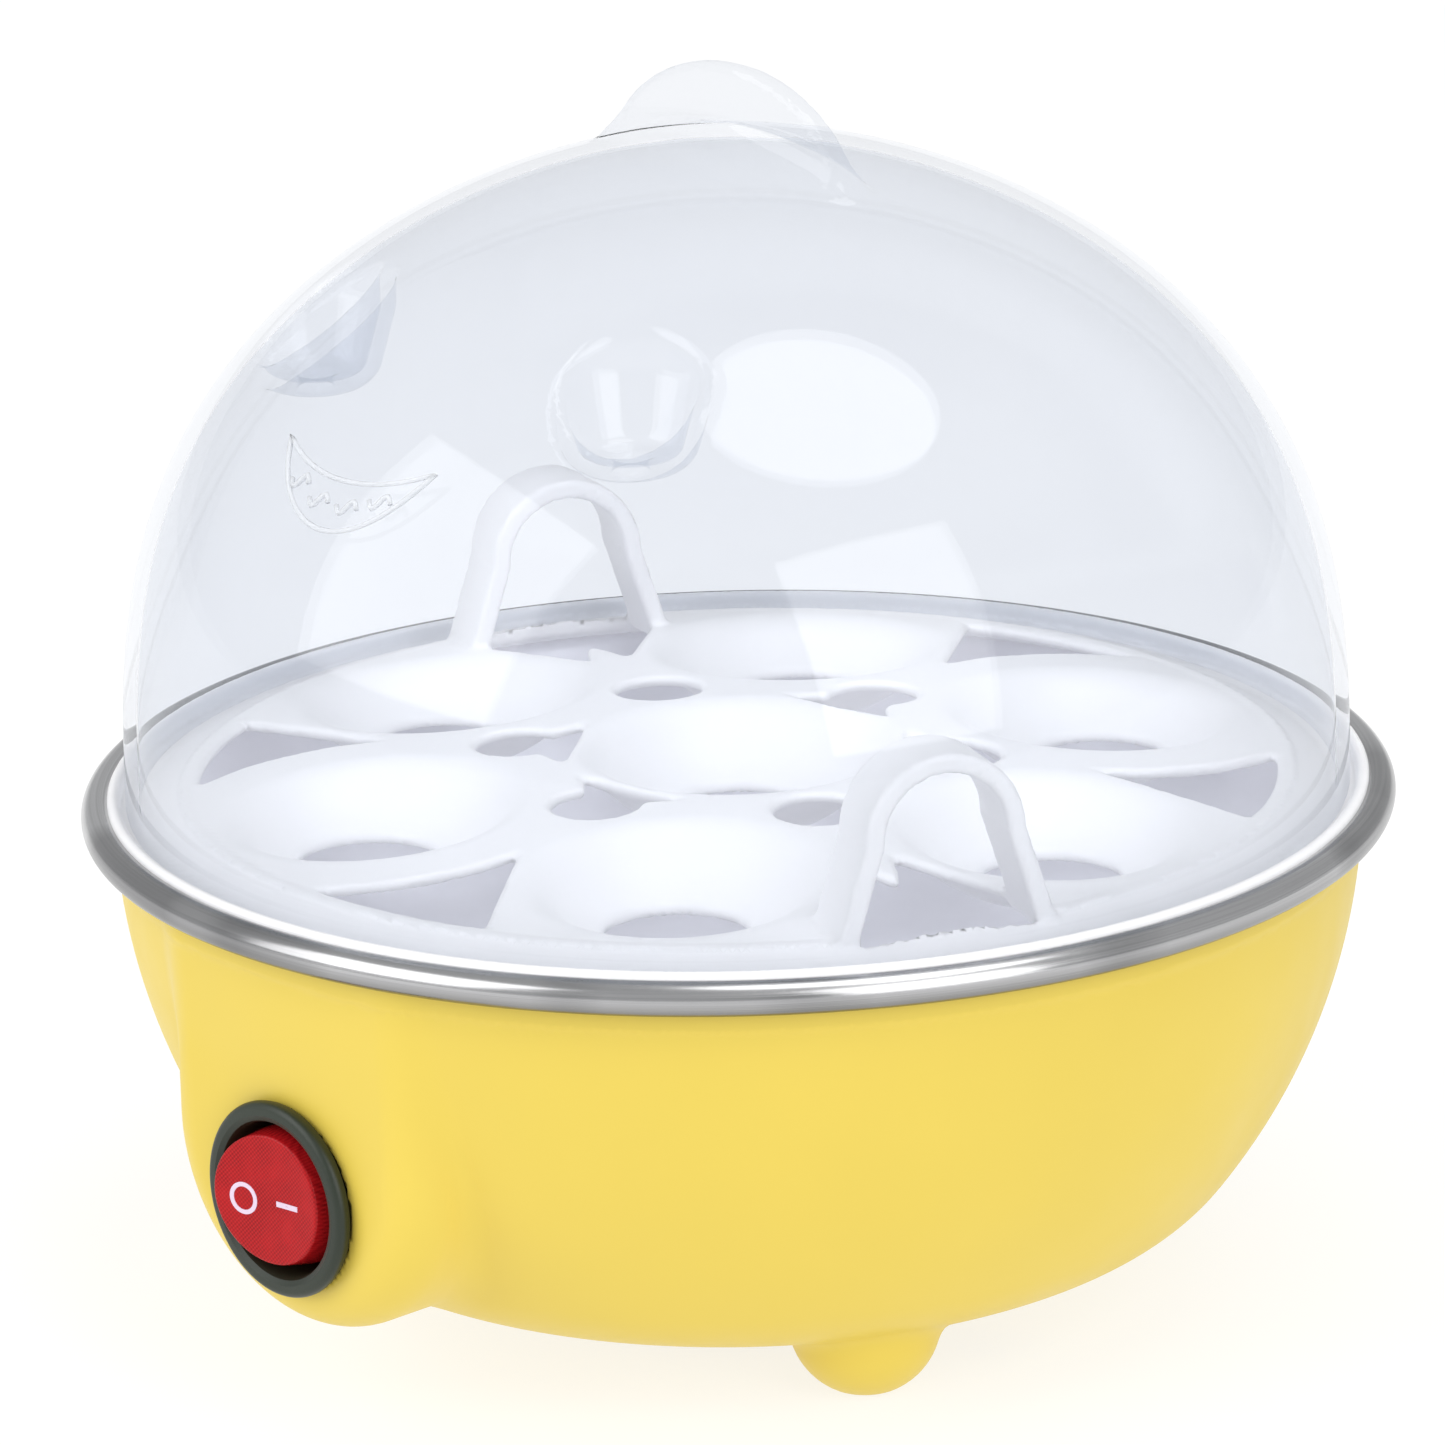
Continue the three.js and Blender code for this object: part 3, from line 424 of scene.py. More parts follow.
def net(field, low, high, step):
    """Surface nets: a vertex for each grid cell and a quad for each grid edge that the surface crosses."""
    axes = [np.arange(a - 1.5 * step, b + 2.5 * step, step) for a, b in zip(low, high)]
    values = field(*np.meshgrid(*axes, indexing="ij"))
    inside = values < 0
    size = np.array(values.shape) - 1
    corners = [(i, j, k) for i in (0, 1) for j in (0, 1) for k in (0, 1)]

    def corner_view(a, c):
        return a[c[0]:c[0] + size[0], c[1]:c[1] + size[1], c[2]:c[2] + size[2]]

    held = sum(corner_view(inside, c).astype(np.int8) for c in corners)
    active = (held > 0) & (held < 8)
    cells = np.argwhere(active)
    index = np.full(size, -1, np.int64)
    index[active] = np.arange(len(cells))
    at = {c: values[tuple((cells + c).T)] for c in corners}
    total, crossings = np.zeros((len(cells), 3)), np.zeros(len(cells))
    for c in corners:
        for axis in range(3):
            if c[axis]:
                continue
            other = tuple(v + (i == axis) for i, v in enumerate(c))
            a, b = at[c], at[other]
            crossed = (a < 0) != (b < 0)
            t = np.where(crossed, a / np.where(crossed, a - b, 1), 0)
            total += crossed[:, None] * (np.array(c) + t[:, None] * (np.array(other) - c))
            crossings += crossed
    points = (cells + total / crossings[:, None]) * step + [a[0] for a in axes]
    quads = []
    for axis in range(3):
        u, v = (axis + 1) % 3, (axis + 2) % 3
        first = [slice(1, -1)] * 3
        second = [slice(1, -1)] * 3
        first[axis], second[axis] = slice(0, -1), slice(1, None)
        a, b = inside[tuple(first)], inside[tuple(second)]
        edges = np.argwhere(a != b)
        outward = a[tuple(edges.T)]
        edges[:, u] += 1
        edges[:, v] += 1
        ring = []
        for du, dv in ((-1, -1), (0, -1), (0, 0), (-1, 0)):
            cell = edges.copy()
            cell[:, u] += du
            cell[:, v] += dv
            ring.append(index[tuple(cell.T)])
        ring = np.stack(ring, 1)
        quads.append(np.where(outward[:, None], ring, ring[:, ::-1]))
    return points, np.concatenate(quads)


def relaxed(points, quads):
    total, count = np.zeros_like(points), np.zeros(len(points))
    for a, b in ((0, 1), (1, 2), (2, 3), (3, 0)):
        for start, end in ((quads[:, a], quads[:, b]), (quads[:, b], quads[:, a])):
            for axis in range(3):
                total[:, axis] += np.bincount(start, points[end, axis], len(points))
            count += np.bincount(start, minlength=len(points))
    return points + 0.5 * (total / count[:, None] - points)


def piece(name, points, faces, material, body, normals=None, sharp=None, replaced=()):
    mesh = bpy.data.meshes.new(name)
    mesh.from_pydata((np.asarray(points) * MM).tolist(), [], [list(f) for f in faces])
    mesh.validate()
    mesh.polygons.foreach_set("use_smooth", [True] * len(mesh.polygons))
    if sharp:
        mesh.set_sharp_from_angle(angle=math.radians(sharp))
    if normals is not None and len(normals) == len(mesh.vertices):
        mesh.normals_split_custom_set_from_vertices(normals.tolist())
    elif normals is not None and len(normals) == len(mesh.loops):
        mesh.normals_split_custom_set(normals.tolist())
    mesh.materials.append(material)
    made = bpy.data.objects.new(name, mesh)
    bpy.context.scene.collection.objects.link(made)
    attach(made, body)
    if replaced:
        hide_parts(*replaced)
    return made


def steadied(points, quads, normals, most):
    """Each face's own corner normals, tilted no further than a limit from the face."""
    p = points[quads]
    flat = np.cross(p[:, 2] - p[:, 0], p[:, 3] - p[:, 1])
    flat = (flat / np.maximum(np.linalg.norm(flat, axis=1, keepdims=True), 1e-9))[:, None, :]
    round_ones = normals[quads]
    tilt = np.degrees(np.arccos(np.clip((flat * round_ones).sum(2, keepdims=True), -1, 1)))
    share = np.minimum(1, most / np.maximum(tilt, 1e-6))
    mixed = flat * (1 - share) + round_ones * share
    return (mixed / np.linalg.norm(mixed, axis=2, keepdims=True)).reshape(-1, 3)


def grown(name, field, low, high, step, material, body, replaced, most_tilt=None):
    """A piece whose surface is where a field is zero."""
    points, quads = net(field, low, high, step)
    points = onto(field, points, 2, step)
    for _ in range(2):
        points = onto(field, relaxed(points, quads), 2, step)
    normals = slopes(field, points)
    normals /= np.maximum(np.linalg.norm(normals, axis=1, keepdims=True), 1e-9)
    if most_tilt:
        normals = steadied(points, quads, normals, most_tilt)
    return piece(name, points, quads.tolist(), material, body, normals, None, replaced)


def lathe(name, profile, material, body, replaced=(), sides=192, place=None, sharp=32):
    """A closed profile of (radius, height) turned about Z, then moved by a matrix in millimetres."""
    profile = np.array(profile, float)
    angles = np.arange(sides) * 2 * math.pi / sides
    rings, points = [], []
    for r, h in profile:
        if r < 1e-6:
            rings.append([len(points)] * sides)
            points.append((0, 0, h))
        else:
            rings.append(list(range(len(points), len(points) + sides)))
            points += [(r * math.cos(a), r * math.sin(a), h) for a in angles]
    faces = []
    closed = profile[0][0] > 1e-6 or profile[-1][0] > 1e-6
    last = len(rings) if closed else len(rings) - 1
    for i in range(last):
        a, b = rings[i], rings[(i + 1) % len(rings)]
        for s in range(sides):
            t = (s + 1) % sides
            face = [a[s], a[t], b[t], b[s]]
            face = [v for n, v in enumerate(face) if v not in face[:n]]
            if len(face) > 2:
                faces.append(face)
    points = np.array(points)
    if place is not None:
        turn = np.array(place)
        points = points @ turn[:3, :3].T + turn[:3, 3]
    return piece(name, points, faces, material, body, None, sharp, replaced)


def bend(points, radius=0.5, steps=4):
    """The same closed profile with each corner rounded."""
    points = np.array(points, float)
    out = []
    for i, p in enumerate(points):
        a, b = points[i - 1] - p, points[(i + 1) % len(points)] - p
        la, lb = np.linalg.norm(a), np.linalg.norm(b)
        if p[0] < 1e-6 or la < 1e-6 or lb < 1e-6:
            out.append(p)
            continue
        cut = min(radius, 0.45 * la, 0.45 * lb)
        start, end = p + a / la * cut, p + b / lb * cut
        for t in np.linspace(0, 1, steps + 1):
            out.append((1 - t) ** 2 * start + 2 * t * (1 - t) * p + t**2 * end)
    return out


def arc(centre, radius, start, end, steps):
    angles = np.radians(np.linspace(start, end, steps + 1))
    return [(centre[0] + radius * math.cos(a), centre[1] + radius * math.sin(a)) for a in angles]


def facing_front(height):
    """Turns a lathe's axis to -Y, at a height."""
    return np.array(Matrix.Translation((0, 0, height)) @ Matrix.Rotation(math.pi / 2, 4, "X"))


def facing_rear(height):
    return np.array(Matrix.Translation((0, 0, height)) @ Matrix.Rotation(-math.pi / 2, 4, "X"))


# ---------------------------------------------------------------- materials
class Nodes:
    """A short way to wire a material."""

    def __init__(self, name):
        self.material = bpy.data.materials.new(name)
        self.material.use_nodes = True
        self.tree = self.material.node_tree
        self.shader = self.tree.nodes["Principled BSDF"]

    def add(self, kind, **values):
        node = self.tree.nodes.new("ShaderNode" + kind)
        for key, value in values.items():
            if key in node.inputs:
                self.put(node.inputs[key], value)
            else:
                setattr(node, key, value)
        return node

    def put(self, socket, value):
        if isinstance(value, bpy.types.NodeSocket):
            self.tree.links.new(value, socket)
        elif isinstance(value, (tuple, list)) and len(value) == 3 and len(socket.default_value) == 4:
            socket.default_value = (*value, 1)
        else:
            socket.default_value = value

    def set(self, **values):
        for key, value in values.items():
            self.put(self.shader.inputs[key.replace("_", " ")], value)

    def place(self, scale=(1, 1, 1)):
        coordinates = self.add("TexCoord").outputs["Object"]
        return self.add("Mapping", Vector=coordinates, Scale=scale).outputs["Vector"]

    def noise(self, scale, detail=3, stretch=(1, 1, 1), vector=None):
        vector = vector or self.place(stretch)
        return self.add("TexNoise", Vector=vector, Scale=scale, Detail=detail).outputs["Fac"]

    def ramp(self, value, low, high, start=0.35, end=0.65):
        node = self.add("ValToRGB", Fac=value)
        node.color_ramp.elements[0].position = start
        node.color_ramp.elements[1].position = end
        node.color_ramp.elements[0].color = (*low, 1)
        node.color_ramp.elements[1].color = (*high, 1)
        return node.outputs["Color"]

    def span(self, value, low, high, start=0.3, end=0.7):
        node = self.add("MapRange", Value=value)
        for key, v in (("From Min", start), ("From Max", end), ("To Min", low), ("To Max", high)):
            node.inputs[key].default_value = v
        return node.outputs["Result"]

    def mix(self, factor, a, b, mode="MIX"):
        node = self.add("Mix", data_type="RGBA", blend_type=mode)
        self.put(node.inputs[0], factor)
        self.put(node.inputs[6], a)
        self.put(node.inputs[7], b)
        return node.outputs[2]

    def bump(self, height, strength, distance):
        return self.add("Bump", Height=height, Strength=strength, Distance=distance).outputs["Normal"]


def shade(color, factor):
    return tuple(min(1, c * factor) for c in color)


def moulded(name, color, rough, grain=0.05, spread=0.03, **more):
    """Moulded plastic: a slight drift of colour and gloss, and a fine skin."""
    m = Nodes(name)
    drift = m.noise(28, 2)
    m.set(Base_Color=m.ramp(drift, shade(color, 1 - spread), shade(color, 1 + spread)))
    m.set(Roughness=m.span(m.noise(90, 3), rough - 0.04, rough + 0.05))
    skin = m.noise(2600, 2)
    m.set(Normal=m.bump(skin, grain, 0.00004))
    m.set(**more)
    return m.material


def metal(name, color, rough, scale=(1, 1, 1), grain=0.2):
    """Drawn or plated metal: streaks along its working direction, with duller patches."""
    m = Nodes(name)
    streak = m.noise(900, 4, scale)
    m.set(Base_Color=m.ramp(streak, shade(color, 0.8), shade(color, 1.1)), Metallic=1)
    m.set(Roughness=m.span(m.noise(120, 3), rough - 0.08, rough + 0.1))
    m.set(Normal=m.bump(streak, grain, 0.00003))
    return m.material


def polar(m, around, along):
    """Coordinates that run round the Z axis and up it, for streaks that follow a turned piece."""
    xyz = m.add("SeparateXYZ", Vector=m.add("TexCoord").outputs["Object"]).outputs
    turn = m.add("Math", operation="ARCTAN2")
    m.put(turn.inputs[0], xyz["Y"])
    m.put(turn.inputs[1], xyz["X"])
    cos = m.add("Math", operation="COSINE")
    sin = m.add("Math", operation="SINE")
    m.put(cos.inputs[0], turn.outputs[0])
    m.put(sin.inputs[0], turn.outputs[0])
    out = m.add("CombineXYZ", X=cos.outputs[0], Y=sin.outputs[0], Z=xyz["Z"])
    return m.add("Mapping", Vector=out.outputs[0], Scale=(around, around, along)).outputs["Vector"], xyz


def steel_material():
    """Polished rolled rim: fine brush lines round it, lighter and darker reaches, and a painted shade that
    darkens its underside.
    """
    m = Nodes("polished_steel")
    vector, xyz = polar(m, 1, 1)
    radius = m.add("VectorMath", operation="LENGTH")
    flat = m.add("CombineXYZ", X=xyz["X"], Y=xyz["Y"])
    m.put(radius.inputs[0], flat.outputs[0])
    across = m.add("Math", operation="MULTIPLY")
    m.put(across.inputs[0], radius.outputs["Value"])
    across.inputs[1].default_value = 9000
    split = m.add("SeparateXYZ", Vector=vector).outputs
    height = m.add("Math", operation="MULTIPLY_ADD")
    m.put(height.inputs[0], xyz["Z"])
    height.inputs[1].default_value = 9000
    m.put(height.inputs[2], across.outputs[0])
    lines = m.add("CombineXYZ", X=split["X"], Y=split["Y"], Z=height.outputs[0]).outputs[0]
    brushed = m.add("TexNoise", Vector=lines, Scale=1.0, Detail=4, Roughness=0.65).outputs["Fac"]
    broad = m.add("TexNoise", Vector=polar(m, 2.1, 10)[0], Scale=1.0, Detail=2).outputs["Fac"]
    # painted shade: the base colour falls to 0.42 towards the roll's underside, standing in for the dark
    # reflection it shows there
    under = m.span(xyz["Z"], 0.42, 1.0, (RIM_Z - 1.8) * MM, (RIM_Z + 0.2) * MM)
    base = m.ramp(brushed, (0.40, 0.40, 0.405), (0.56, 0.56, 0.565), 0.3, 0.7)
    base = m.mix(0.6, base, m.ramp(broad, (0.30, 0.30, 0.305), (1, 1, 1), 0.42, 0.56), "MULTIPLY")
    painted_underside_shade = m.add("CombineXYZ", X=under, Y=under, Z=under).outputs[0]
    m.set(Base_Color=m.mix(1.0, base, painted_underside_shade, "MULTIPLY"), Metallic=1)
    m.set(Roughness=m.span(brushed, 0.17, 0.27), Anisotropic=0.5, Anisotropic_Rotation=0.25)
    m.set(Tangent=m.add("Tangent", direction_type="RADIAL", axis="Z").outputs[0])
    m.set(Normal=m.bump(brushed, 0.15, 0.00004))
    return m.material


def dish_material():
    """The pan's inside: satin steel with a painted glow, a faint emission that stands in for the light coming
    through the white tray.
    """
    m = Nodes("satin_dish_with_painted_glow")
    drift = m.noise(40, 3)
    m.set(Base_Color=m.ramp(drift, (0.70, 0.70, 0.74), (0.80, 0.80, 0.84)), Metallic=0.3)
    m.set(Roughness=m.span(m.noise(150, 3), 0.4, 0.55), Normal=m.bump(m.noise(1500, 2), 0.08, 0.00004))
    # painted glow: a faint emission standing in for light that falls through the tray onto the dish
    m.set(Emission_Color=(0.95, 0.95, 1.0), Emission_Strength=0.15)
    return m.material


def lid_material():
    """Clear moulded plastic: a cool tint at each face, faint flow marks, a little haze."""
    m = Nodes("clear_plastic")
    flow = m.noise(14, 3, (1, 1, 0.4))
    m.set(Base_Color=m.ramp(flow, (0.880, 0.897, 0.930), (0.892, 0.908, 0.938)))
    m.set(Roughness=m.span(m.noise(60, 2), 0.03, 0.07), IOR=1.002, Transmission_Weight=1.0)
    m.set(Coat_Weight=0.5, Coat_IOR=1.5, Coat_Roughness=0.04)
    m.set(Normal=m.bump(m.noise(35, 1), 0.03, 0.0002))
    return m.material


def rocker_material():
    """Red see-through plastic with a fine grid moulded on its back."""
    m = Nodes("rocker_red")
    xyz = m.add("SeparateXYZ", Vector=m.place((1, 1, 1))).outputs
    lines = []
    for axis in ("X", "Z"):
        wave = m.add("Math", operation="SINE")
        scaled = m.add("Math", operation="MULTIPLY")
        m.put(scaled.inputs[0], xyz[axis])
        scaled.inputs[1].default_value = 2 * math.pi / 0.00055
        m.put(wave.inputs[0], scaled.outputs[0])
        lines.append(wave.outputs[0])
    grid = m.add("Math", operation="MULTIPLY")
    m.put(grid.inputs[0], lines[0])
    m.put(grid.inputs[1], lines[1])
    fine = m.span(grid.outputs[0], 0.0, 1.0, -1, 1)
    glow = m.noise(260, 2)
    color = m.mix(m.span(glow, 0.0, 1.0), (0.16, 0.002, 0.004), (0.34, 0.005, 0.008))
    m.set(Base_Color=m.mix(fine, color, (0.50, 0.012, 0.015)))
    m.set(Roughness=0.24, Specular_IOR_Level=0.15, Coat_Weight=0.05, Coat_Roughness=0.06)
    # painted glow: a faint red emission standing in for light passing through the see-through plastic
    m.set(Emission_Color=(0.8, 0.01, 0.015), Emission_Strength=0.03)
    m.set(Normal=m.bump(grid.outputs[0], 0.08, 0.00005))
    return m.material


def floor_material():
    m = Nodes("studio_floor")
    m.set(Base_Color=m.ramp(m.noise(3, 2), (0.24, 0.24, 0.24), (0.26, 0.26, 0.26)), Roughness=0.9)
    m.set(Emission_Color=(1, 1, 1), Emission_Strength=0.76)
    return m.material


MATERIALS = {
    "shell": moulded("shell_yellow", (0.765, 0.58, 0.088), 0.42, 0.05, 0.015, Specular_IOR_Level=0.4),
    # the tray's material carries a painted glow: a faint emission standing in for light scattered in the
    # milky plastic
    "tray": moulded("tray_white", (0.82, 0.817, 0.828), 0.42, 0.04, 0.01,
                    Emission_Color=(0.98, 0.98, 1.0), Emission_Strength=0.12),
    "black": moulded("switch_black", (0.012, 0.020, 0.010), 0.42, 0.35, 0.1),
    "mark": moulded("mark_pale", (0.74, 0.60, 0.74), 0.5, 0.1),
    "steel": steel_material(),
    "dish": dish_material(),
    "clear": lid_material(),
    "red": rocker_material(),
    "emblem": moulded("emblem_frosted", (0.80, 0.82, 0.85), 0.3, 0.04, 0.03, Alpha=0.5),
}


# ---------------------------------------------------------------- pieces
SHELL_STEP = 0.8  # grid spacing of each piece made from a field
TRAY_STEP = 0.75
LID_STEP = 0.85
LID_MOST_TILT = 9  # degrees between a corner's normal and its face


def make_shell():
    reach = max(BOWL_RADIUS, HOUSING_FACE)
    grown("bowl_shell", shell_field, (-reach, -reach, 0), (reach, reach, SHELL_TOP), SHELL_STEP,
          MATERIALS["shell"], "base", ["base_shell"])


def make_tray():
    grown("egg_tray_moulding", tray_field, (-LIP_OUTER, -LIP_OUTER, SEAT_FLOOR - 2),
          (LIP_OUTER, LIP_OUTER, TRAY_HIGH[2]), TRAY_STEP,
          MATERIALS["tray"], "tray", ["egg_tray"])


def make_lid():
    grown("dome_lid", lid_field, (-LID_RADIUS, -LID_RADIUS, LID_BOTTOM),
          (LID_RADIUS, LID_RADIUS, FIN_TOP), LID_STEP,
          MATERIALS["clear"], "lid", ["lid"], LID_MOST_TILT)


def on_dome(bearing, height):
    """A point on the lid's outside, from its bearing and its height above the rim's middle."""
    up = (RIM_Z + height - LID_SPRING) / (LID_APEX - LID_SPRING)
    reach = LID_RADIUS * (1 - up**LID_CROWN_POWER) ** (1 / LID_SIDE_POWER)
    return (*at_bearing(reach, bearing), RIM_Z + height)


def crescent_edges():
    """The emblem's outline as (bearing, height) pairs: two arcs that meet in points."""
    across = np.linspace(-1, 1, 25)
    lower = [(EMBLEM_HALF * t, EMBLEM_LOW + EMBLEM_SAG * t * t) for t in across]
    inner_sag = EMBLEM_SAG - EMBLEM_TALL
    upper = [(EMBLEM_HALF * t, EMBLEM_LOW + EMBLEM_TALL + inner_sag * t * t) for t in across[::-1]]
    return lower + upper[1:-1]


def emblem_lines():
    """A plain crescent outline with a row of small waves in it."""
    lines = [(crescent_edges(), True)]
    for middle in WAVE_BEARINGS:
        t = middle / EMBLEM_HALF
        height = EMBLEM_LOW + EMBLEM_TALL / 2 + (EMBLEM_SAG - EMBLEM_TALL / 2) * t * t
        wave = [(middle + WAVE_HALF * s, height + WAVE_RISE * math.sin(math.pi * s))
                for s in np.linspace(-1, 1, 9)]
        lines.append((wave, False))
    return lines


def make_emblem():
    points, faces = [], []
    sides = 6
    for pairs, closed in emblem_lines():
        path = np.array([on_dome(*pair) for pair in pairs])
        rings = []
        for i, p in enumerate(path):
            ahead = path[(i + 1) % len(path)] if closed or i + 1 < len(path) else p
            back = path[i - 1] if closed or i else p
            along = (ahead - back) / np.linalg.norm(ahead - back)
            out = p - [0, 0, RIM_Z]
            out = out / np.linalg.norm(out)
            side = np.cross(along, out)
            side /= np.linalg.norm(side)
            rings.append(range(len(points), len(points) + sides))
            for s in range(sides):
                a = 2 * math.pi * s / sides
                points.append(p + EMBLEM_LINE * (side * math.cos(a) + np.cross(side, along) * math.sin(a)))
        for i in range(len(rings) if closed else len(rings) - 1):
            a, b = rings[i], rings[(i + 1) % len(rings)]
            faces += [[a[s], a[(s + 1) % sides], b[(s + 1) % sides], b[s]] for s in range(sides)]
        if not closed:
            faces += [list(rings[0])[::-1], list(rings[-1])]
    piece("lid_emblem", points, faces, MATERIALS["emblem"], "lid")


def make_pan():
    inner = ROLL_CENTRE - ROLL_RADIUS + ROLL_FOLD
    wall = inner - PAN_LEDGE_WIDTH
    low = PAN_FLOOR - PAN_SHEET
    under = bend([(PAN_FLOOR_RADIUS, low), (PAN_FLOOR_RADIUS + 10, low + 3), (wall - 3.2, low + 10),
                  (wall + PAN_SHEET, LEDGE_TOP - PAN_SHEET), (inner, LEDGE_TOP - PAN_SHEET)], 2.5, 5)[3:-3]
    roll = arc((ROLL_CENTRE, RIM_Z), ROLL_RADIUS, -88, 125, 28)
    above = bend([(inner, RIM_Z + 0.6), (inner, LEDGE_TOP), (wall, LEDGE_TOP), (wall - 4, low + 11),
                  (PAN_FLOOR_RADIUS + 9.6, PAN_FLOOR + 3), (PAN_FLOOR_RADIUS, PAN_FLOOR)], 1.2, 4)[3:-3]
    stud = PAN_LOW[2]
    profile = [(0, stud), (2.1, stud), (2.4, stud + 0.3), (2.4, low), *under, *roll, *above, (0, PAN_FLOOR)]
    pan = lathe("steel_pan", profile, MATERIALS["steel"], "base", ["heating_pan"], 256)
    pan.data.materials.append(MATERIALS["dish"])
    for face in pan.data.polygons:
        if math.hypot(face.center.x, face.center.y) < (inner - 0.5) * MM:
            face.material_index = 1


def make_switch():
    front, back = BEZEL_FRONT, BEZEL_FRONT - BEZEL_THICKNESS
    opening = BARREL_RADIUS - BARREL_WALL
    outer = [(BARREL_RADIUS, BARREL_END), (BARREL_RADIUS, back), (BEZEL_RADIUS - 0.2, back),
             *arc((BEZEL_RADIUS - 1.0, front - 1.05), 1.0, -20, 90, 8),
             (opening + 0.9, front), (opening + 0.25, front - 0.35), (opening, front - 0.9)]
    tail = [(opening, BARREL_END + 1.4), (0, BARREL_END + 1.4), (0, BARREL_END)]
    lathe("switch_bezel", outer + tail, MATERIALS["black"], "base", ["switch_housing"], 128,
          facing_front(SWITCH_Z))


def rocker_point(u, v, depth):
    """A point on the rocker: across, up, and out from its pivot, tilted as it rests."""
    turn = math.radians(ROCKER_TILT)
    x = u * math.cos(turn) + depth * math.sin(turn) * -1
    out = depth * math.cos(turn) + u * math.sin(turn) * -1
    return x, -(ROCKER_PIVOT + out), SWITCH_Z + v


def face_depth(u, v):
    """The rocker's face: a shallow saddle, deepest across the pivot."""
    dip = ROCKER_DIP * (1 - (u / ROCKER_RADIUS) ** 2)
    return ROCKER_FACE - ROCKER_PIVOT - dip - ROCKER_CROWN * (v / ROCKER_RADIUS) ** 2


def make_rocker():
    sides = 96
    rings = [0, 0.2, 0.4, 0.6, 0.78, 0.9, 0.96]
    points, faces = [], []
    loops = []

    def loop(radius, depth_of):
        loops.append(list(range(len(points), len(points) + sides)))
        for s in range(sides):
            a = 2 * math.pi * s / sides
            u, v = radius * math.cos(a), radius * math.sin(a)
            points.append(rocker_point(u, v, depth_of(u, v)))

    face = ROCKER_RADIUS - ROCKER_DRAFT
    for share in rings[1:]:
        loop(share * face, face_depth)
    for i in range(1, 6):
        t = math.radians(18 * i)
        loop(face * (0.96 + 0.04 * math.sin(t)), lambda u, v, t=t: face_depth(u, v) - 0.4 * (1 - math.cos(t)))
    back = ROCKER_FACE - ROCKER_PIVOT - ROCKER_THICKNESS
    loop(ROCKER_RADIUS, lambda u, v: back + 4)
    loop(ROCKER_RADIUS, lambda u, v: back + 0.3)
    loop(ROCKER_RADIUS - 0.3, lambda u, v: back)
    top, bottom = len(points), len(points) + 1
    points.append(rocker_point(0, 0, face_depth(0, 0)))
    points.append(rocker_point(0, 0, back))
    for s in range(sides):
        t = (s + 1) % sides
        faces.append([top, loops[0][s], loops[0][t]])
        for a, b in zip(loops, loops[1:]):
            faces.append([a[s], b[s], b[t], a[t]])
        faces.append([loops[-1][s], bottom, loops[-1][t]])
    piece("rocker_cap", points, faces, MATERIALS["red"], "rocker", None, 50, ["rocker"])


def mark(name, outline_outer, outline_inner):
    """A flat printed mark, a hair proud of the rocker's face."""
    n = len(outline_outer)
    points, faces = [], []
    for lift in (0.07, -0.05):
        for u, v in [*outline_outer, *outline_inner]:
            points.append(rocker_point(u, v, face_depth(u, v) + lift))
    for s in range(n):
        t = (s + 1) % n
        a, b = (s, t), (n + s, n + t)
        faces.append([a[0], a[1], b[1], b[0]])
        faces.append([2 * n + a[1], 2 * n + a[0], 2 * n + b[0], 2 * n + b[1]])
        faces.append([a[1], a[0], 2 * n + a[0], 2 * n + a[1]])
        faces.append([b[0], b[1], 2 * n + b[1], 2 * n + b[0]])
    piece(name, points, faces, MATERIALS["mark"], "rocker", None, 30)


def make_marks():
    turns = np.linspace(0, 2 * math.pi, 49)[:-1]
    u, v = OFF_MARK
    mark("mark_off", *([(u + r * math.cos(a), v + r * math.sin(a)) for a in turns] for r in OFF_MARK_RADII))
    corners = [(1, 1), (-1, 1), (-1, -1), (1, -1)]
    u, v = ON_MARK
    mark("mark_on", *([(u + w * a, h * b + v) for a, b in corners] for w, h in ON_MARK_HALVES))


def make_gland():
    flange = GLAND_FACE + GAP
    end = GLAND_HIGH[1]
    start = GLAND_LOW[1]
    profile = bend([(GLAND_BORE, start), (GLAND_BODY, start), (GLAND_BODY, flange),
                    (GLAND_FLANGE, flange), (GLAND_FLANGE, end), (GLAND_BORE, end)], 0.5, 4)
    lathe("cord_bush", profile, MATERIALS["black"], "base", ["cord_gland"], 64,
          facing_rear(GLAND_Z))


def make_screws(material):
    for n, side in ((2, 1), (1, -1)):
        low, high = box_mm("base_screw_%d" % n)
        top = low[2] + SCREW_HEAD_HEIGHT
        profile = [(0, low[2] + 0.9), (1.4, low[2] + 0.9), (1.7, low[2] + 0.1), (2.6, low[2]),
                   *arc((SCREW_HEAD - 0.9, low[2] + 0.9), 0.9, -90, 0, 5),
                   (SCREW_HEAD, top), (SCREW_SHANK, top), (SCREW_SHANK, high[2] - 1),
                   (1.2, high[2]), (0, high[2])]
        place = np.array(Matrix.Translation((side * SCREW_REACH, 0, 0)))
        lathe("pan_head_screw_%d" % n, profile, material, "base", ["base_screw_%d" % n],
              48, place)


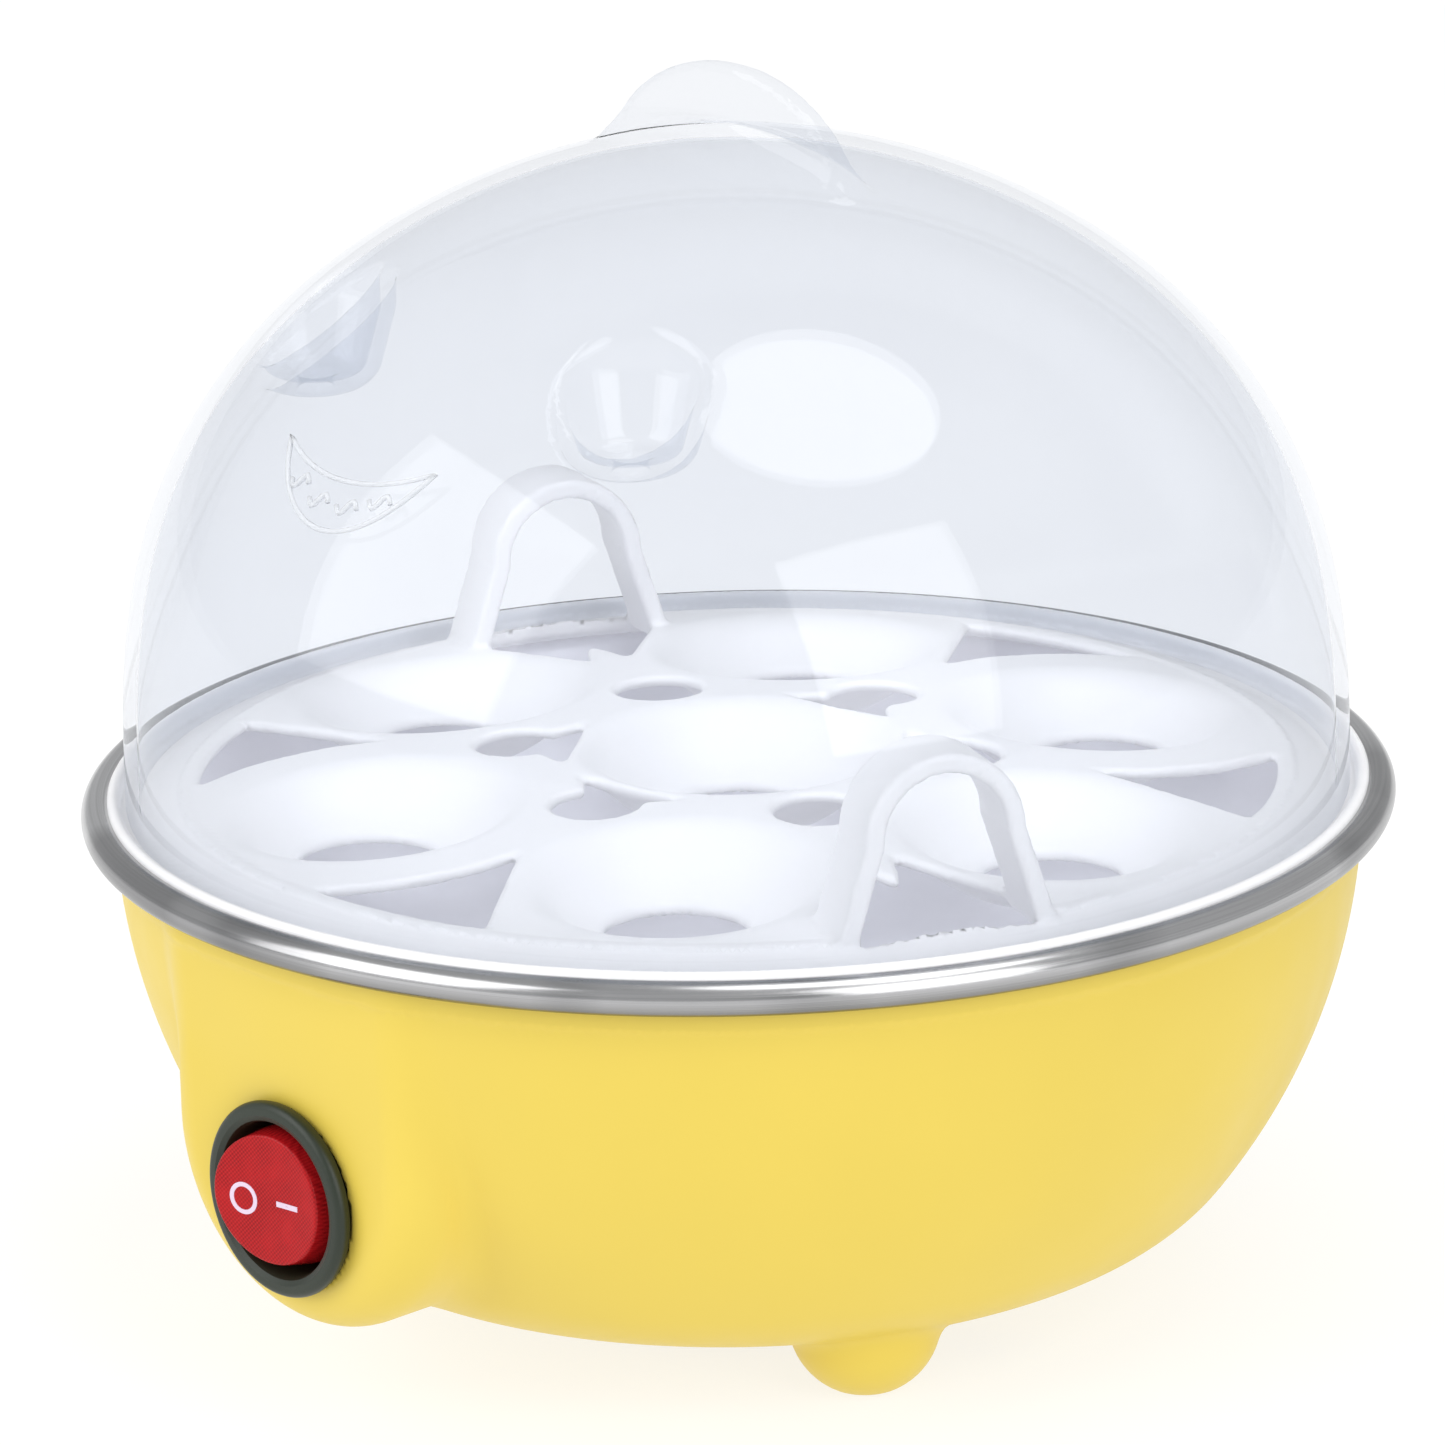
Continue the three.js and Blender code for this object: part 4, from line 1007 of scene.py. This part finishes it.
def dress_inside():
    """The nodes that keep their CAD shape get a material each."""
    zinc = metal("zinc_plate", (0.56, 0.58, 0.60), 0.35, (1, 6, 1))
    brass = metal("brass", (0.62, 0.45, 0.16), 0.32, (1, 1, 5))
    aluminium = metal("cast_aluminium", (0.58, 0.59, 0.61), 0.42)
    bakelite = moulded("bakelite", (0.13, 0.035, 0.02), 0.4, 0.2, 0.15)
    block = moulded("terminal_cream", (0.76, 0.72, 0.62), 0.45, 0.1)
    silicone = moulded("silicone", (0.66, 0.66, 0.64), 0.6, 0.1)
    glass = moulded("lamp_glass", (0.8, 0.4, 0.22), 0.08, 0.02, 0.05, Transmission_Weight=0.6)
    sleeves = {"red": (0.45, 0.035, 0.025), "blue": (0.03, 0.10, 0.27), "white": (0.74, 0.73, 0.70)}
    sleeve = {k: moulded("sleeve_" + k, c, 0.5, 0.3, 0.06) for k, c in sleeves.items()}
    dressed = {
        "rim_gasket": silicone, "heater_plate": aluminium, "heater_tube": aluminium,
        "heater_pin_1": zinc, "heater_pin_2": zinc, "clamp_bracket": zinc, "stud_nut": zinc,
        "thermostat_cap": aluminium, "thermostat_body": bakelite,
        "thermostat_blade_1": brass, "thermostat_blade_2": brass,
        "switch_blade_1": brass, "switch_blade_2": brass, "switch_blade_3": brass,
        "thermal_fuse": sleeve["white"], "terminal_block": block, "indicator_lamp": glass,
        "live_wire": sleeve["red"], "switched_wire": sleeve["red"], "fuse_wire": sleeve["white"],
        "heater_wire": sleeve["white"], "neutral_wire": sleeve["blue"], "lamp_wire": sleeve["blue"],
    }
    for node, material in dressed.items():
        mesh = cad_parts[node].data
        mesh.materials.clear()
        mesh.materials.append(material)
    make_screws(zinc)


# ---------------------------------------------------------------- camera and studio
CAMERA_AZIMUTH = math.radians(47)
CAMERA_ELEVATION = math.radians(17.375)
CAMERA_ROLL = math.radians(-1.466)
CAMERA_DISTANCE = 1163.6
CAMERA_RIGHT = -1.68
CAMERA_UP = 8.25
SENSOR = 36
LENS = 237.8
SOFTBOXES = (  # name, bearing, elevation, distance, width, height, radiance, shape
    ("left_softbox", -68, 30, 1.3, 1.1, 1.1, 2.2, "RECTANGLE"),
    ("right_softbox", 33, 26, 1.4, 0.85, 1.15, 2.5, "RECTANGLE"),
    ("overhead_softbox", 67, 76, 1.3, 0.82, 0.82, 2.3, "DISK"),
)
SOFTBOX_AIM = 0.09
WORLD_STRENGTH = 0.62
FLOOR_HALF = 4.0
FLOOR_THICKNESS = 0.02


def camera_axes():
    a, e = CAMERA_AZIMUTH, CAMERA_ELEVATION
    back = Vector((math.sin(a) * math.cos(e), -math.cos(a) * math.cos(e), math.sin(e)))
    right = Vector((math.cos(a), math.sin(a), 0))
    return right, back.cross(right), back


def make_camera():
    right, up, back = camera_axes()
    place = Vector((0, 0, RIM_Z)) + back * CAMERA_DISTANCE + right * CAMERA_RIGHT + up * CAMERA_UP
    x = right * math.cos(CAMERA_ROLL) + up * math.sin(CAMERA_ROLL)
    y = up * math.cos(CAMERA_ROLL) - right * math.sin(CAMERA_ROLL)
    data = bpy.data.cameras.new("camera")
    data.sensor_width, data.lens = SENSOR, LENS
    data.clip_start, data.clip_end = 0.05, 50
    camera = bpy.data.objects.new("camera", data)
    camera.matrix_world = Matrix.Translation(place * MM) @ Matrix((x, y, back)).transposed().to_4x4()
    bpy.context.scene.collection.objects.link(camera)
    bpy.context.scene.camera = camera


def softbox(name, bearing, elevation, distance, width, height, radiance, shape):
    """An area light. Its bearing is counted from the camera's side of the part, towards the right."""
    right, _, back = camera_axes()
    near = Vector((back.x, back.y, 0)).normalized()
    b, e = math.radians(bearing), math.radians(elevation)
    aim = (right * math.sin(b) + near * math.cos(b)) * math.cos(e) + Vector((0, 0, math.sin(e)))
    data = bpy.data.lights.new(name, "AREA")
    data.shape, data.size, data.size_y = shape, width, height
    data.energy = radiance * math.pi * width * height
    light = bpy.data.objects.new(name, data)
    place = Vector((0, 0, SOFTBOX_AIM)) + aim * distance
    light.matrix_world = Matrix.Translation(place) @ aim.to_track_quat("Z", "Y").to_matrix().to_4x4()
    bpy.context.scene.collection.objects.link(light)


def make_studio():
    for row in SOFTBOXES:
        softbox(*row)
    world = bpy.data.worlds.new("studio")
    bpy.context.scene.world = world
    world.use_nodes = True
    background = world.node_tree.nodes["Background"]
    background.inputs["Color"].default_value = (0.98, 0.99, 1.0, 1)
    background.inputs["Strength"].default_value = WORLD_STRENGTH
    bpy.context.scene.view_settings.view_transform = "Standard"


def make_floor():
    size = FLOOR_HALF
    corners = [(-size, -size), (size, -size), (size, size), (-size, size)]
    mesh = bpy.data.meshes.new("studio_floor")
    points = [(x, y, z) for z in (0, -FLOOR_THICKNESS) for x, y in corners]
    sides = [(0, 4, 5, 1), (1, 5, 6, 2), (2, 6, 7, 3), (3, 7, 4, 0)]
    mesh.from_pydata(points, [], [(0, 1, 2, 3), (7, 6, 5, 4), *sides])
    mesh.materials.append(floor_material())
    floor = bpy.data.objects.new("studio_floor", mesh)
    bpy.context.scene.collection.objects.link(floor)


make_camera()
make_studio()
make_floor()
make_shell()
make_pan()
make_tray()
make_lid()
make_emblem()
make_switch()
make_rocker()
make_marks()
make_gland()
dress_inside()
